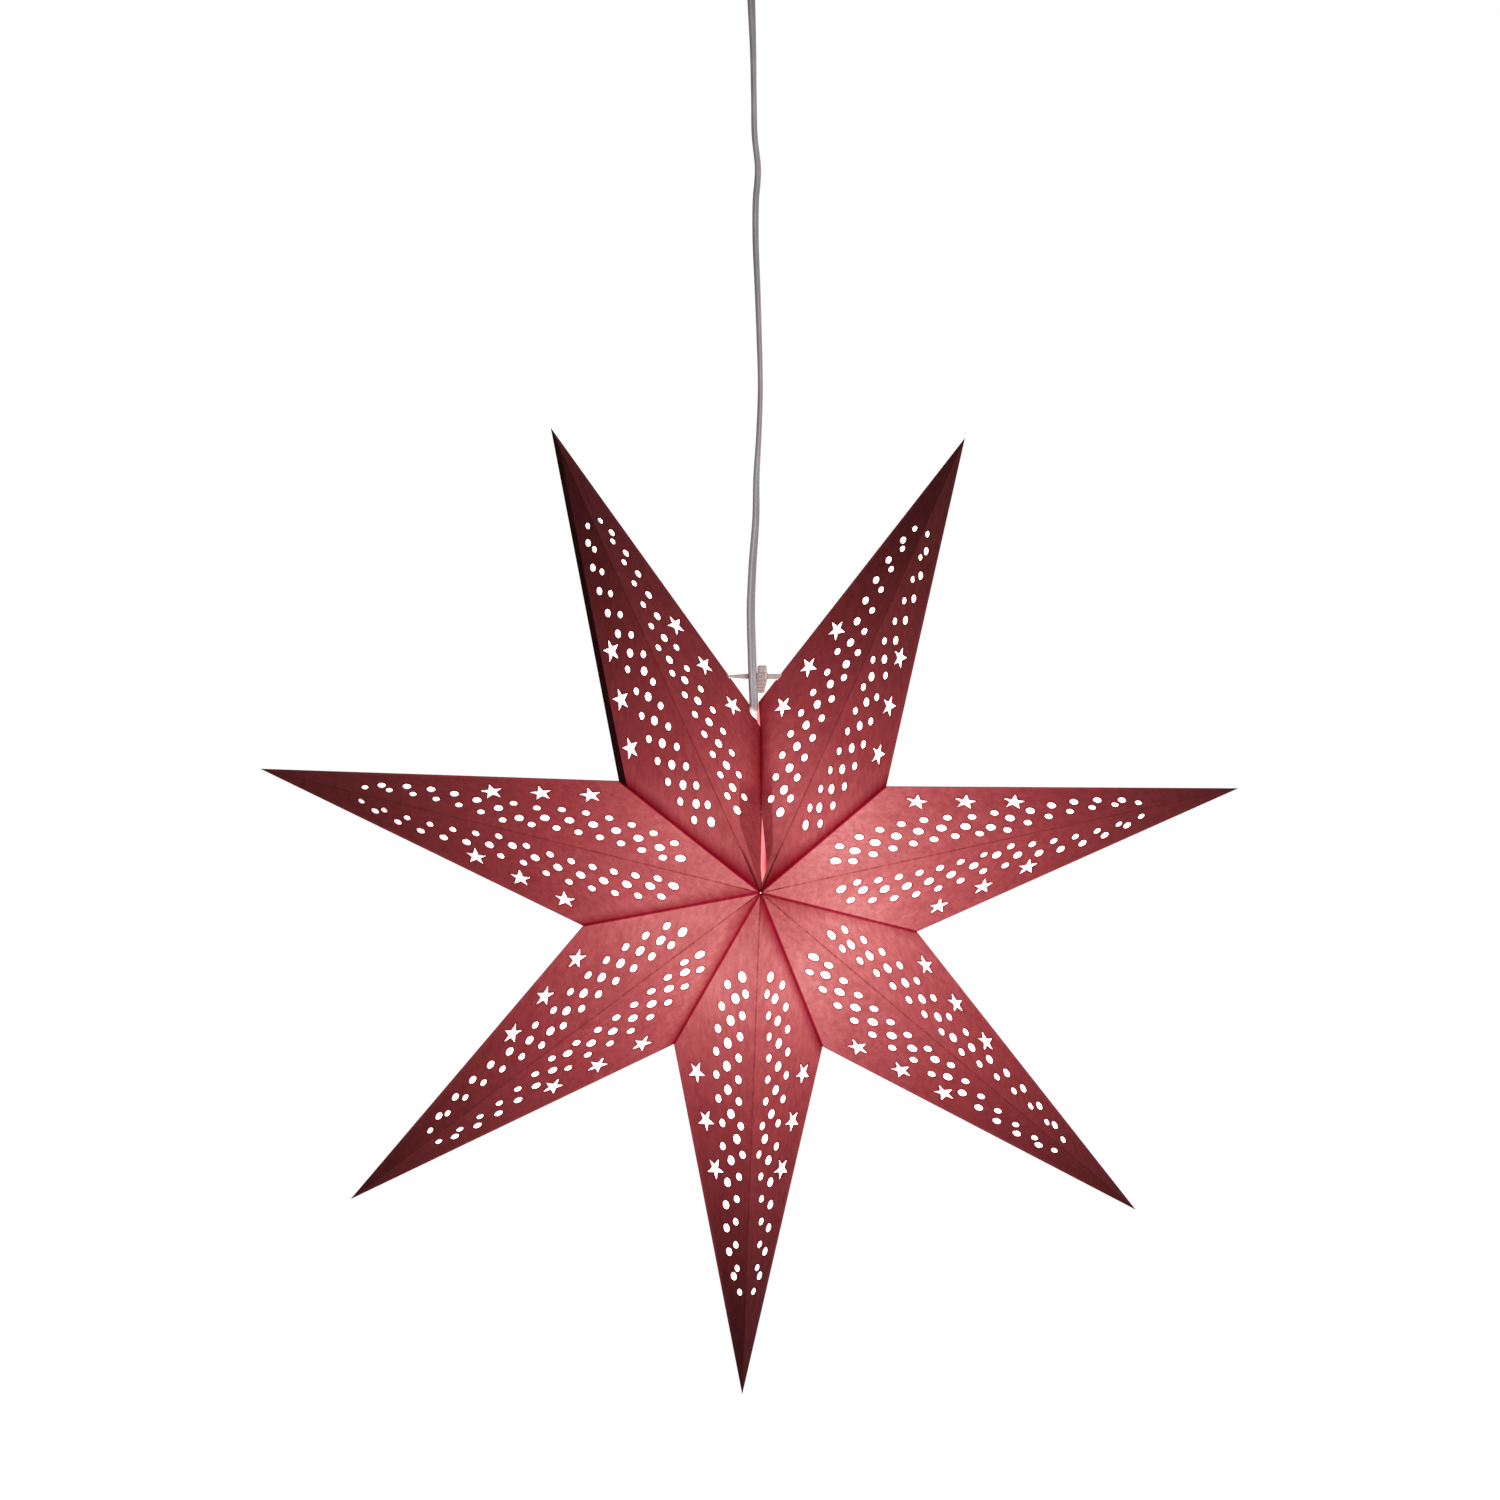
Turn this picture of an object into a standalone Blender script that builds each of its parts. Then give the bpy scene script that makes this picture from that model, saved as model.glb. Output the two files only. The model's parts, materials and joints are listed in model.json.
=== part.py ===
"""Paper star lantern on a flat cord, under its ceiling cup.

A seven-pointed star of folded paper hangs on a cross bar that is clipped to the cord. Every point is one sheet with
four flat panels: front and back, left and right of its ridge. The lamp hangs inside on the end of the cord.

Metres, +Z up. The origin is the middle of the ceiling plate's top face. The front of the star faces -Y.
Left and right of a point are as seen from the front with that point's tip turned up.
"""

import math

import bmesh
import bpy
from mathutils import Matrix, Vector

# Star: ideal folded edges, from the star's centre
tip_radius = 0.302
valley_radius = 0.103
half_depth = 0.073
star_drop = 0.585
star_roll_deg = 1.0

# Paper
paper_thickness = 0.0004
paper_gap = 0.0003
flap_width = 0.007
flap_foot_gap = 0.016
flap_top_gap = 0.007
end_flap_width = 0.011

# Open seam between the two top points
seam_half_gap = 0.0006
cord_notch_depth = 0.009
cord_notch_taper = 0.006

# Punched round holes: a row along two arches beside the ridge
large_hole_diameter = 0.0066
hole_sides = 6
arch_holes = 14
first_hole_share = 0.177
hole_pitch_share = 0.0457
first_arch_middle_share = 0.3375
first_arch_half_share = 0.1607
second_arch_middle_share = 0.654
second_arch_half_share = 0.1555
arch_change_share = 0.49
arch_foot_share = 0.2
arch_rise_share = 0.151
foot_fall_share = 0.288

# Star cut-outs: a row along the outer edge, from the valley outwards
cutout_radius = 0.0064
cutout_waist_share = 0.45
cutout_points = 5
cutout_count = 3
cutout_inset = 0.013
first_cutout_share = 0.0877
cutout_pitch_share = 0.1368

# Cord, as a round tube of the flat cord's mean thickness
cord_width = 0.0054
cord_tube_diameter = 0.0042
cord_point_spacing = 0.0105
cord_clearance = 0.0006
touching_gap = 0.0003

# Cross bar and wedge of the cord clip
bar_stand = 0.0255
bar_height = 0.0026
bar_thickness = 0.002
bar_hold = 0.007
bar_knob_height = 0.0044
bar_knob_length = 0.0024
socket_width = 0.0072
socket_depth = 0.0064
socket_height = 0.004
socket_wall = 0.0013
wedge_head_height = 0.0055
wedge_reach = 0.008
wedge_tip_share = 0.62
rib_count = 4
rib_height = 0.0009
rib_stand = 0.0003

# Ceiling plate and the hook under it
plate_diameter = 0.054
plate_thickness = 0.0025
plate_sides = 24
screw_slot_length = 0.0096
screw_slot_width = 0.0048
screw_slot_offset = 0.0185
mains_hole_diameter = 0.010
mains_hole_offset = 0.0165
hook_wire = 0.0024
hook_radius = 0.0042
hook_shank = 0.008
hook_tip = 0.0028

# Cord anchor on the hook
eye_radius = 0.0042
eye_wire = 0.0026
anchor_width = 0.0116
anchor_depth = 0.0092
anchor_height = 0.016
anchor_bevel = 0.0012
anchor_screw_diameter = 0.0034
anchor_screw_head = 0.0012
anchor_screw_pitch = 0.0085

# Terminal block and the cord's two cores
terminal_length = 0.016
terminal_depth = 0.010
terminal_height = 0.009
terminal_bevel = 0.0008
terminal_offset = 0.0165
terminal_screw_diameter = 0.003
terminal_screw_head = 0.001
core_diameter = 0.0019
core_pitch = 0.0046
core_drop = 0.0045

# Ceiling cup and its cord grip
cup_radius = 0.033
cup_height = 0.042
cup_wall = 0.0016
cup_hole_radius = 0.0064
cup_sides = 24
cup_radius_shares = (1.0, 1.0, 0.945, 0.79, 0.5)
cup_height_shares = (0.0, 0.12, 0.32, 0.62, 0.93)
grip_flange_radius = 0.0086
grip_flange_height = 0.0016
grip_neck_height = 0.0065
grip_screw_diameter = 0.003
grip_screw_head = 0.0044
grip_sides = 16

# Lampholder, from the star's centre upwards
holder_top = 0.078
holder_collar_radius = 0.0062
holder_collar_height = 0.008
holder_radius = 0.014
holder_cap_height = 0.020
holder_body_height = 0.039
holder_wall = 0.0014
holder_mouth_share = 0.94
holder_sides = 18
insert_height = 0.0105
insert_neck_radius = 0.0092
insert_neck_height = 0.0035
shell_radius = 0.00775
shell_wall = 0.0004
shell_height = 0.023
contact_radius = 0.002
contact_height = 0.0011
collar_screw_diameter = 0.0032
collar_screw_head = 0.0016

# Bulb
bulb_cap_radius = 0.0069
bulb_cap_height = 0.0225
bulb_cap_shoulder_share = 0.74
insulator_height = 0.0012
insulator_tip_share = 0.36
tip_height = 0.0007
housing_height = 0.0175
housing_neck_share = 0.55
globe_radius = 0.0225
globe_neck_radius = 0.0158
globe_wall = 0.001
globe_steps = 9
board_radius = 0.012
board_thickness = 0.0012
bulb_sides = 18

small_sides = 8
wire_resolution = 1
cord_resolution = 2
merge_distance = 0.00001

point_names = (
    "top_right_point",
    "right_point",
    "lower_right_point",
    "bottom_point",
    "lower_left_point",
    "left_point",
    "top_left_point",
)

# The cord's route, chosen by hand: across, towards the back, up
cord_route = (
    (0.0, 0.0, -0.0363),
    (0.0, 0.0, -0.044),
    (0.0003, 0.0, -0.053),
    (0.0013, 0.0, -0.081),
    (0.0018, 0.0, -0.110),
    (0.0022, 0.0, -0.131),
    (0.0041, 0.0, -0.149),
    (0.0039, 0.0, -0.159),
    (0.0029, 0.0, -0.171),
    (0.0028, 0.0, -0.194),
    (0.0040, 0.0, -0.225),
    (0.0050, 0.0, -0.254),
    (0.0056, -0.0003, -0.283),
    (0.0047, -0.0006, -0.311),
    (0.0032, -0.0010, -0.337),
    (0.0028, -0.0014, -0.362),
    (0.0008, -0.0020, -0.390),
    (-0.0003, -0.0027, -0.417),
    (0.0003, -0.0034, -0.443),
    (0.0009, -0.0034, -0.461),
    (0.0016, -0.0022, -0.474),
    (0.0016, -0.0008, -0.486),
    (0.0004, 0.0, -0.497),
    (0.0, 0.0, -0.5067),
)

star_centre = Vector((0.0, 0.0, -star_drop))
point_count = len(point_names)
half_point = math.pi / point_count


def material(name, colour, roughness, metallic=0.0, alpha=1.0):
    """A plain surface colour for one kind of material."""
    made = bpy.data.materials.new(name)
    made.use_nodes = True
    shader = made.node_tree.nodes["Principled BSDF"]
    shader.inputs["Base Color"].default_value = (*colour, 1.0)
    shader.inputs["Roughness"].default_value = roughness
    shader.inputs["Metallic"].default_value = metallic
    shader.inputs["Alpha"].default_value = alpha
    return made


def new_collection(name):
    made = bpy.data.collections.new(name)
    bpy.context.scene.collection.children.link(made)
    return made


def add_object(name, data, finish=None, collection=None, parent=None):
    """Link an object, with its data kept in place under its parent."""
    made = bpy.data.objects.new(name, data)
    (collection or parts).objects.link(made)
    if finish:
        data.materials.append(finish)
    if parent:
        made.parent = parent
    return made


def joint_empty(name, place, parent=None):
    """An empty on a joint's axis, which carries the pieces that the joint moves."""
    made = bpy.data.objects.new(name, None)
    parts.objects.link(made)
    made.empty_display_size = valley_radius
    made.location = place
    if parent:
        made.parent = parent
        made.location = place - world_place(parent)
    return made


def world_place(item):
    place = Vector(item.location)
    while item.parent:
        item = item.parent
        place += item.location
    return place


def mesh_object(name, mesh, finish, parent=None, smooth=False):
    """An object for a mesh that is in world coordinates."""
    if parent:
        mesh.transform(Matrix.Translation(-world_place(parent)))
    if smooth:
        mesh.shade_smooth()
        mesh.set_sharp_from_angle(angle=math.radians(40))
    return add_object(name, mesh, finish, parent=parent)


def mesh_from(shape):
    """Mesh from a bmesh, with its faces turned outwards."""
    bmesh.ops.remove_doubles(shape, verts=shape.verts, dist=merge_distance)
    bmesh.ops.recalc_face_normals(shape, faces=shape.faces)
    mesh = bpy.data.meshes.new("shape")
    shape.to_mesh(mesh)
    shape.free()
    return mesh


def evaluated_mesh(item):
    """The final mesh of an object, which is then removed."""
    graph = bpy.context.evaluated_depsgraph_get()
    mesh = bpy.data.meshes.new_from_object(item.evaluated_get(graph))
    mesh.transform(item.matrix_basis)
    data = item.data
    bpy.data.objects.remove(item)
    if data.users == 0 and isinstance(data, bpy.types.Curve):
        bpy.data.curves.remove(data)
    return mesh


def plate_mesh(outlines, thickness):
    """A flat plate in the XY plane: the first outline is its edge, the others are holes."""
    curve = bpy.data.curves.new("outline", "CURVE")
    curve.dimensions = "2D"
    curve.fill_mode = "BOTH"
    curve.extrude = thickness / 2
    for outline in outlines:
        spline = curve.splines.new("POLY")
        spline.points.add(len(outline) - 1)
        spline.use_cyclic_u = True
        for point, place in zip(spline.points, outline):
            point.co = (*place, 0.0, 1.0)
    shape = bmesh.new()
    mesh = evaluated_mesh(add_object("outline", curve))
    shape.from_mesh(mesh)
    bpy.data.meshes.remove(mesh)
    return mesh_from(shape)


def box_mesh(low, high, bevel=0.0):
    shape = bmesh.new()
    bmesh.ops.create_cube(shape, size=1.0)
    size = Vector(high) - Vector(low)
    middle = (Vector(high) + Vector(low)) / 2
    shape.transform(Matrix.Translation(middle) @ Matrix.Diagonal((*size, 1.0)))
    if bevel:
        bmesh.ops.bevel(shape, geom=shape.edges, offset=bevel, segments=1, affect="EDGES")
    return mesh_from(shape)


def rod_mesh(radius, start, end, sides, end_radius=None):
    """A round rod or cone between two places."""
    start = Vector(start)
    along = Vector(end) - start
    turn = along.to_track_quat("Z", "Y").to_matrix().to_4x4()
    shape = bmesh.new()
    bmesh.ops.create_cone(
        shape,
        cap_ends=True,
        segments=sides,
        radius1=radius,
        radius2=radius if end_radius is None else end_radius,
        depth=along.length,
    )
    shape.transform(Matrix.Translation(start + along / 2) @ turn)
    return mesh_from(shape)


def turned_mesh(profile, sides, wall=0.0, closed=False):
    """A shape turned about Z from (radius, height) points that run down its outer side.

    An open profile with a wall becomes a shell, and a closed one a ring.
    """
    mesh = bpy.data.meshes.new("profile")
    count = len(profile)
    edges = [(n, (n + 1) % count) for n in range(count if closed else count - 1)]
    mesh.from_pydata([(radius, 0.0, height) for radius, height in profile], edges, [])
    item = add_object("profile", mesh)
    screw = item.modifiers.new("turn", "SCREW")
    screw.steps = sides
    screw.render_steps = sides
    screw.use_merge_vertices = True
    screw.merge_threshold = merge_distance
    if wall:
        solidify = item.modifiers.new("wall", "SOLIDIFY")
        solidify.thickness = wall
        solidify.offset = -1.0
    made = evaluated_mesh(item)
    bpy.data.meshes.remove(mesh)
    return made


def tube_mesh(points, diameter, resolution):
    """A round tube along a line of points, with closed ends."""
    curve = bpy.data.curves.new("route", "CURVE")
    curve.dimensions = "3D"
    curve.bevel_depth = diameter / 2
    curve.bevel_resolution = resolution
    curve.use_fill_caps = True
    spline = curve.splines.new("POLY")
    spline.points.add(len(points) - 1)
    for point, place in zip(spline.points, points):
        point.co = (*place, 1.0)
    shape = bmesh.new()
    mesh = evaluated_mesh(add_object("route", curve))
    shape.from_mesh(mesh)
    bpy.data.meshes.remove(mesh)
    return mesh_from(shape)


def place_object(name, mesh, matrix, collection, parent=None):
    """An object placed by a world matrix under its parent, for a mesh in its own coordinates."""
    made = bpy.data.objects.new(name, mesh)
    collection.objects.link(made)
    made.matrix_basis = matrix
    if parent:
        made.parent = parent
        made.matrix_basis = Matrix.Translation(-world_place(parent)) @ matrix
    return made


def combine(item, mesh, operation, matrix=None):
    """Cut a mesh out of an object, or join it on, with a Boolean modifier."""
    name = item.name + "_" + operation.lower()
    cutter = place_object(name, mesh, matrix or Matrix(), cutters, item.parent)
    cutter.hide_render = True
    cutter.display_type = "WIRE"
    boolean = item.modifiers.new(operation.lower(), "BOOLEAN")
    boolean.operation = operation
    boolean.object = cutter


def smooth_route(points, spacing):
    """Points read at even steps from a smooth curve through the route's own points."""
    places = [Vector(point) for point in points]
    ends = [2 * places[0] - places[1]] + places + [2 * places[-1] - places[-2]]
    fine = []
    steps = 12
    for before, start, end, after in zip(ends, ends[1:], ends[2:], ends[3:]):
        for step in range(steps):
            t = step / steps
            fine.append(
                (
                    2 * start
                    + (end - before) * t
                    + (2 * before - 5 * start + 4 * end - after) * t**2
                    + (3 * start - before - 3 * end + after) * t**3
                )
                / 2
            )
    fine.append(places[-1])
    lengths = [0.0]
    for start, end in zip(fine, fine[1:]):
        lengths.append(lengths[-1] + (end - start).length)
    count = max(2, round(lengths[-1] / spacing))
    route = []
    place = 0
    for n in range(count + 1):
        wanted = lengths[-1] * n / count
        while place < len(fine) - 2 and lengths[place + 1] < wanted:
            place += 1
        span = lengths[place + 1] - lengths[place]
        route.append(fine[place].lerp(fine[place + 1], (wanted - lengths[place]) / span))
    return route


# Flat geometry of one panel: x along the ridge from the star's middle, y towards the valley corner
ridge_length = math.hypot(tip_radius, half_depth)
valley_across = valley_radius * math.sin(half_point)
valley_out = valley_radius * math.cos(half_point)
corner_along = (tip_radius * valley_out + half_depth**2) / ridge_length
valley_length = math.hypot(valley_radius, half_depth)
bar_rise = valley_radius + bar_stand
corner_height = math.sqrt(valley_length**2 - corner_along**2)
edge_length = math.hypot(ridge_length - corner_along, corner_height)

# Half the angle between neighbouring panels at each kind of fold
ridge_half_angle = math.asin(valley_across / corner_height)
edge_half_angle = math.asin(half_depth * edge_length / (ridge_length * corner_height))
tip_across = tip_radius * math.sin(half_point)
valley_half_angle = math.asin(tip_across * valley_length / (ridge_length * corner_height))

# How far a panel's edge stands back, so that its inner side clears the panel across the fold
ridge_inset = paper_thickness / math.tan(ridge_half_angle) + paper_gap / 2 / math.sin(ridge_half_angle)
edge_inset = paper_thickness / math.tan(edge_half_angle) + paper_gap / 2 / math.sin(edge_half_angle)
seam_inset = seam_half_gap / math.sin(valley_half_angle)
notch_half_width = cord_width / 2 + cord_clearance
notch_inset = notch_half_width / math.sin(valley_half_angle)

# At a valley the right-hand panel bends under its neighbour, and the neighbour's edge clears the bend
valley_angle = 2 * valley_half_angle
valley_inset = (paper_gap - paper_thickness * min(0.0, math.cos(valley_angle))) / math.sin(valley_angle)
flap_depth = paper_thickness + paper_gap
bend_reach = flap_depth / math.sin(valley_angle) + paper_thickness / 2
flap_inset = -flap_depth / math.tan(valley_angle) - paper_thickness / 2


def shifted(start, end, inset):
    """A side of the outline, moved to its left by the inset."""
    along = (Vector(end) - Vector(start)).normalized()
    left = Vector((-along.y, along.x)) * inset
    return Vector(start) + left, Vector(end) + left


def meeting(first, second):
    """Where two lines in the panel's plane cross."""
    (a, b), (c, d) = first, second
    u, v = b - a, d - c
    share = (c - a).cross(v) / u.cross(v)
    return a + u * share


middle_corner = Vector((0.0, 0.0))
tip_corner = Vector((ridge_length, 0.0))
valley_corner = Vector((corner_along, corner_height))
ridge_side = shifted(middle_corner, tip_corner, ridge_inset)
outer_side = shifted(tip_corner, valley_corner, edge_inset)


def seam_place(along, inset):
    """A place given along the valley from its outer corner, and in from the valley."""
    down = (middle_corner - valley_corner).normalized()
    inwards = Vector((-down.y, down.x))
    return valley_corner + down * along + inwards * inset


def panel_outline(bent):
    """A panel between its ridge, its outer edge and its valley. A bent one has a tab across the valley."""
    valley_side = shifted(valley_corner, middle_corner, valley_inset)
    start = flap_top_gap + paper_thickness
    end = valley_length - flap_foot_gap - paper_thickness
    tab = [
        seam_place(start, valley_inset),
        seam_place(start, -bend_reach),
        seam_place(end, -bend_reach),
        seam_place(end, valley_inset),
    ]
    return [
        meeting(valley_side, ridge_side),
        meeting(ridge_side, outer_side),
        meeting(outer_side, valley_side),
        *(tab if bent else ()),
    ]


def end_panel_outline(bar_place, rise):
    """A panel beside the open seam, with room for the cord and a nick for the cross bar.

    Rise is how much a step along the outer edge climbs.
    """
    seam_side = shifted(valley_corner, middle_corner, seam_inset)
    notch_side = shifted(valley_corner, middle_corner, notch_inset)
    outwards = (tip_corner - valley_corner).normalized()
    inwards = Vector((outwards.y, -outwards.x))
    nick_depth = (bar_thickness / 2 + cord_clearance) / math.sin(edge_half_angle)
    sinking = nick_depth * math.cos(edge_half_angle) * math.sqrt(1 - rise**2)
    nick_low = bar_place - (bar_height / 2 + cord_clearance) / rise
    nick_high = bar_place + (bar_height / 2 + cord_clearance + sinking) / rise
    edge_start = valley_corner + inwards * edge_inset
    nick = [
        edge_start + outwards * nick_high,
        edge_start + outwards * nick_high + inwards * nick_depth,
        edge_start + outwards * nick_low + inwards * nick_depth,
        edge_start + outwards * nick_low,
    ]
    return [
        meeting(seam_side, ridge_side),
        meeting(ridge_side, outer_side),
        *nick,
        meeting(outer_side, notch_side),
        seam_place(cord_notch_depth, notch_inset),
        seam_place(cord_notch_depth + cord_notch_taper, seam_inset),
    ]


def arch_height(share):
    """Height of the hole row over the ridge, as a share of the corner's, at a share of the ridge."""
    foot = arch_foot_share - foot_fall_share * max(0.0, share - arch_change_share)
    if share < arch_change_share:
        way = (share - first_arch_middle_share) / first_arch_half_share
    else:
        way = (share - second_arch_middle_share) / second_arch_half_share
    return foot + arch_rise_share * (1 - way**2)


def round_hole(middle, diameter, sides):
    return [
        middle + Vector((math.cos(turn), math.sin(turn))) * diameter / 2
        for turn in (math.tau * n / sides for n in range(sides))
    ]


def star_hole(middle):
    """A five-pointed cut-out with one point towards the tip."""
    corners = []
    for n in range(2 * cutout_points):
        reach = cutout_radius * (cutout_waist_share if n % 2 else 1.0)
        turn = math.pi * n / cutout_points
        corners.append(middle + Vector((math.cos(turn), math.sin(turn))) * reach)
    return corners


def star_holes():
    outwards = (tip_corner - valley_corner).normalized()
    inwards = Vector((outwards.y, -outwards.x))
    places = (
        valley_corner
        + outwards * edge_length * (first_cutout_share + cutout_pitch_share * n)
        + inwards * cutout_inset
        for n in range(cutout_count)
    )
    return [star_hole(place) for place in places]


def arch_row():
    """The large round holes beside the ridge."""
    holes = []
    for n in range(arch_holes):
        share = first_hole_share + hole_pitch_share * n
        middle = Vector((ridge_length * share, corner_height * arch_height(share)))
        holes.append(round_hole(middle, large_hole_diameter, hole_sides))
    return holes


def flap_outline(start, near, width):
    """A flap along the valley with slanted ends, from a start below the valley's outer corner."""
    end = valley_length - flap_foot_gap
    return [
        seam_place(start, near),
        seam_place(end, near),
        seam_place(end - width, near + width),
        seam_place(start + width, near + width),
    ]


def hem_outline(start):
    """The bend of an end flap, a strip that joins the middles of the two sheets."""
    end = valley_length - flap_foot_gap - 2 * paper_thickness
    start += 2 * paper_thickness
    near = seam_inset + paper_thickness / 4
    far = near + paper_thickness
    return [seam_place(start, near), seam_place(end, near), seam_place(end, far), seam_place(start, far)]


def point_angle(n):
    """Direction of a point's tip, anticlockwise from +X as seen from the front."""
    return math.pi / 2 - half_point * (2 * n + 1) - math.radians(star_roll_deg)


def outward(angle, radius):
    return star_centre + Vector((math.cos(angle), 0.0, math.sin(angle))) * radius


def panel_corners(n, face, side):
    """Middle, tip and valley corners of a panel. Face is -1 in front, side is +1 on the left."""
    angle = point_angle(n)
    middle = star_centre + Vector((0.0, face * half_depth, 0.0))
    return middle, outward(angle, tip_radius), outward(angle + side * half_point, valley_radius)


def panel_matrix(n, face, side, depth):
    """The panel's own plane, sunk by a depth under the star's outer surface."""
    middle, tip, valley = panel_corners(n, face, side)
    along = (tip - middle).normalized()
    across = valley - middle
    across = (across - along * across.dot(along)).normalized()
    normal = along.cross(across)
    sink = normal * math.copysign(depth, normal.y * face)
    turn = Matrix((along, across, normal)).transposed().to_4x4()
    return Matrix.Translation(middle - sink) @ turn


def bar_crossing(side):
    """Where the cross bar crosses a top point's outer edge, from the valley corner, and the edge's rise."""
    n = 0 if side > 0 else point_count - 1
    tip, valley = panel_corners(n, -1, side)[1:]
    rise = (tip.z - valley.z) / edge_length
    return (star_centre.z + bar_rise - valley.z) / rise, rise


def star_panels(hinges):
    """All panels of the seven points. Each right-hand panel bends into a glue flap under its neighbour."""
    holes = {-1: arch_row() + star_holes(), 1: star_holes()}
    sunk = paper_thickness / 2
    under = flap_depth + paper_thickness / 2
    sheets = {
        (face, side): plate_mesh([panel_outline(side < 0)] + holes[face], paper_thickness)
        for face in (-1, 1)
        for side in (-1, 1)
    }
    seam_start = cord_notch_depth + cord_notch_taper
    flap = plate_mesh([flap_outline(flap_top_gap, flap_inset, flap_width)], paper_thickness)
    end_flap = plate_mesh([flap_outline(seam_start, seam_inset, end_flap_width)], paper_thickness)
    hem = plate_mesh([hem_outline(seam_start)], flap_depth)
    for sheet in sheets.values():
        sheet.materials.append(red_paper)
    for n, point in enumerate(point_names):
        for face, face_name in ((-1, "front"), (1, "back")):
            for side, side_name in ((1, "left"), (-1, "right")):
                name = f"{point}_{face_name}_{side_name}"
                if (n, side) in ((0, 1), (point_count - 1, -1)):
                    outline = end_panel_outline(*bar_crossing(side))
                    sheet = plate_mesh([outline] + holes[face], paper_thickness)
                    sheet.materials.append(red_paper)
                    panel = place_object(name, sheet, panel_matrix(n, face, side, sunk), parts, hinges[point])
                    combine(panel, hem, "UNION", panel_matrix(n, face, side, sunk + flap_depth / 2))
                    combine(panel, end_flap, "UNION", panel_matrix(n, face, side, under))
                    continue
                sheet = sheets[face, side]
                panel = place_object(name, sheet, panel_matrix(n, face, side, sunk), parts, hinges[point])
                if side < 0:
                    combine(panel, flap, "UNION", panel_matrix(n + 1, face, 1, under))


def star_hinges(pendant):
    """An empty for each point on the star's middle axis. The bottom point carries both sides' chains."""
    base = point_count // 2
    hinges = {point_names[base]: joint_empty("star_height", star_centre, pendant)}
    for step in (1, -1):
        carrier = hinges[point_names[base]]
        n = base + step
        while 0 <= n < point_count:
            carrier = joint_empty(point_names[n] + "_fold", star_centre, carrier)
            hinges[point_names[n]] = carrier
            n += step
    return hinges


def cord_place(height):
    """The cord's centre at a height, on its route."""
    for start, end in zip(cord_route, cord_route[1:]):
        if end[2] <= height <= start[2]:
            share = (height - start[2]) / (end[2] - start[2])
            return Vector(start).lerp(Vector(end), share)
    return Vector(cord_route[-1])


def cord_clip(parent):
    """Cross bar with a socket beside the cord, and a ribbed wedge in the socket."""
    height = star_centre.z + bar_rise
    edges = []
    for side in (-1, 1):
        n = 0 if side > 0 else point_count - 1
        tip, valley = panel_corners(n, -1, side)[1:]
        edges.append(valley.lerp(tip, (height - valley.z) / (tip.z - valley.z)).x)
    low_x, high_x = min(edges) - bar_hold, max(edges) + bar_hold
    half_height, half_thickness = bar_height / 2, bar_thickness / 2
    bar = mesh_object(
        "clip_crossbar",
        box_mesh((low_x, -half_thickness, height - half_height), (high_x, half_thickness, height + half_height)),
        clear_plastic,
        parent,
    )
    for end, way in ((low_x, 1), (high_x, -1)):
        knob = sorted((end, end + way * bar_knob_length))
        half_knob = bar_knob_height / 2
        low = (knob[0], -half_thickness, height - half_knob)
        combine(bar, box_mesh(low, (knob[1], half_thickness, height + half_knob)), "UNION")
    left = cord_place(height).x + cord_tube_diameter / 2 + touching_gap
    right = left + socket_width
    back = half_thickness
    front = back - socket_depth
    low = height - socket_height / 2
    high = height + socket_height / 2
    combine(bar, box_mesh((left, front, low), (right, back, high)), "UNION")
    hole_low = Vector((left + socket_wall, front + socket_wall, low))
    hole_high = Vector((right - socket_wall, back - socket_wall, high))
    overrun = Vector((0.0, 0.0, socket_height / 2))
    combine(bar, box_mesh(hole_low - overrun, hole_high + overrun), "DIFFERENCE")
    clip_wedge(parent, hole_low, hole_high, high, (left, right, front, back))


def clip_wedge(parent, hole_low, hole_high, high, sides):
    """A tapering tongue through the socket, with ribs below it and a head above."""
    left, right, front, back = sides
    gap = Vector((touching_gap + rib_stand, touching_gap + rib_stand, 0.0))
    low_corner, high_corner = hole_low + gap, hole_high - gap
    middle = (low_corner + high_corner) / 2
    half = (high_corner - low_corner) / 2
    foot = high - socket_height - wedge_reach
    shape = bmesh.new()
    bmesh.ops.create_cube(shape, size=1.0)
    for corner in shape.verts:
        narrowing = wedge_tip_share if corner.co.z < 0 else 1.0
        across = Vector((corner.co.x * 2 * half.x * narrowing, corner.co.y * 2 * half.y * narrowing, 0.0))
        corner.co = Vector((middle.x, middle.y, foot if corner.co.z < 0 else high)) + across
    wedge = mesh_object("clip_wedge", mesh_from(shape), clear_plastic, parent)
    head_low = (left, front, high + touching_gap)
    head_high = (right, back, high + wedge_head_height)
    combine(wedge, box_mesh(head_low, head_high), "UNION")
    neck_low = (low_corner.x, low_corner.y, high - touching_gap)
    neck_high = (high_corner.x, high_corner.y, high + 2 * touching_gap)
    combine(wedge, box_mesh(neck_low, neck_high), "UNION")
    for n in range(rib_count):
        share = (n + 1) / (rib_count + 1)
        rib_z = high - socket_height - wedge_reach * share
        grown = 1 - (1 - wedge_tip_share) * (high - rib_z) / (high - foot)
        reach = Vector((half.x * grown + rib_stand, half.y * grown + rib_stand, rib_height / 2))
        centre = Vector((middle.x, middle.y, rib_z))
        combine(wedge, box_mesh(centre - reach, centre + reach), "UNION")


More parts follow.
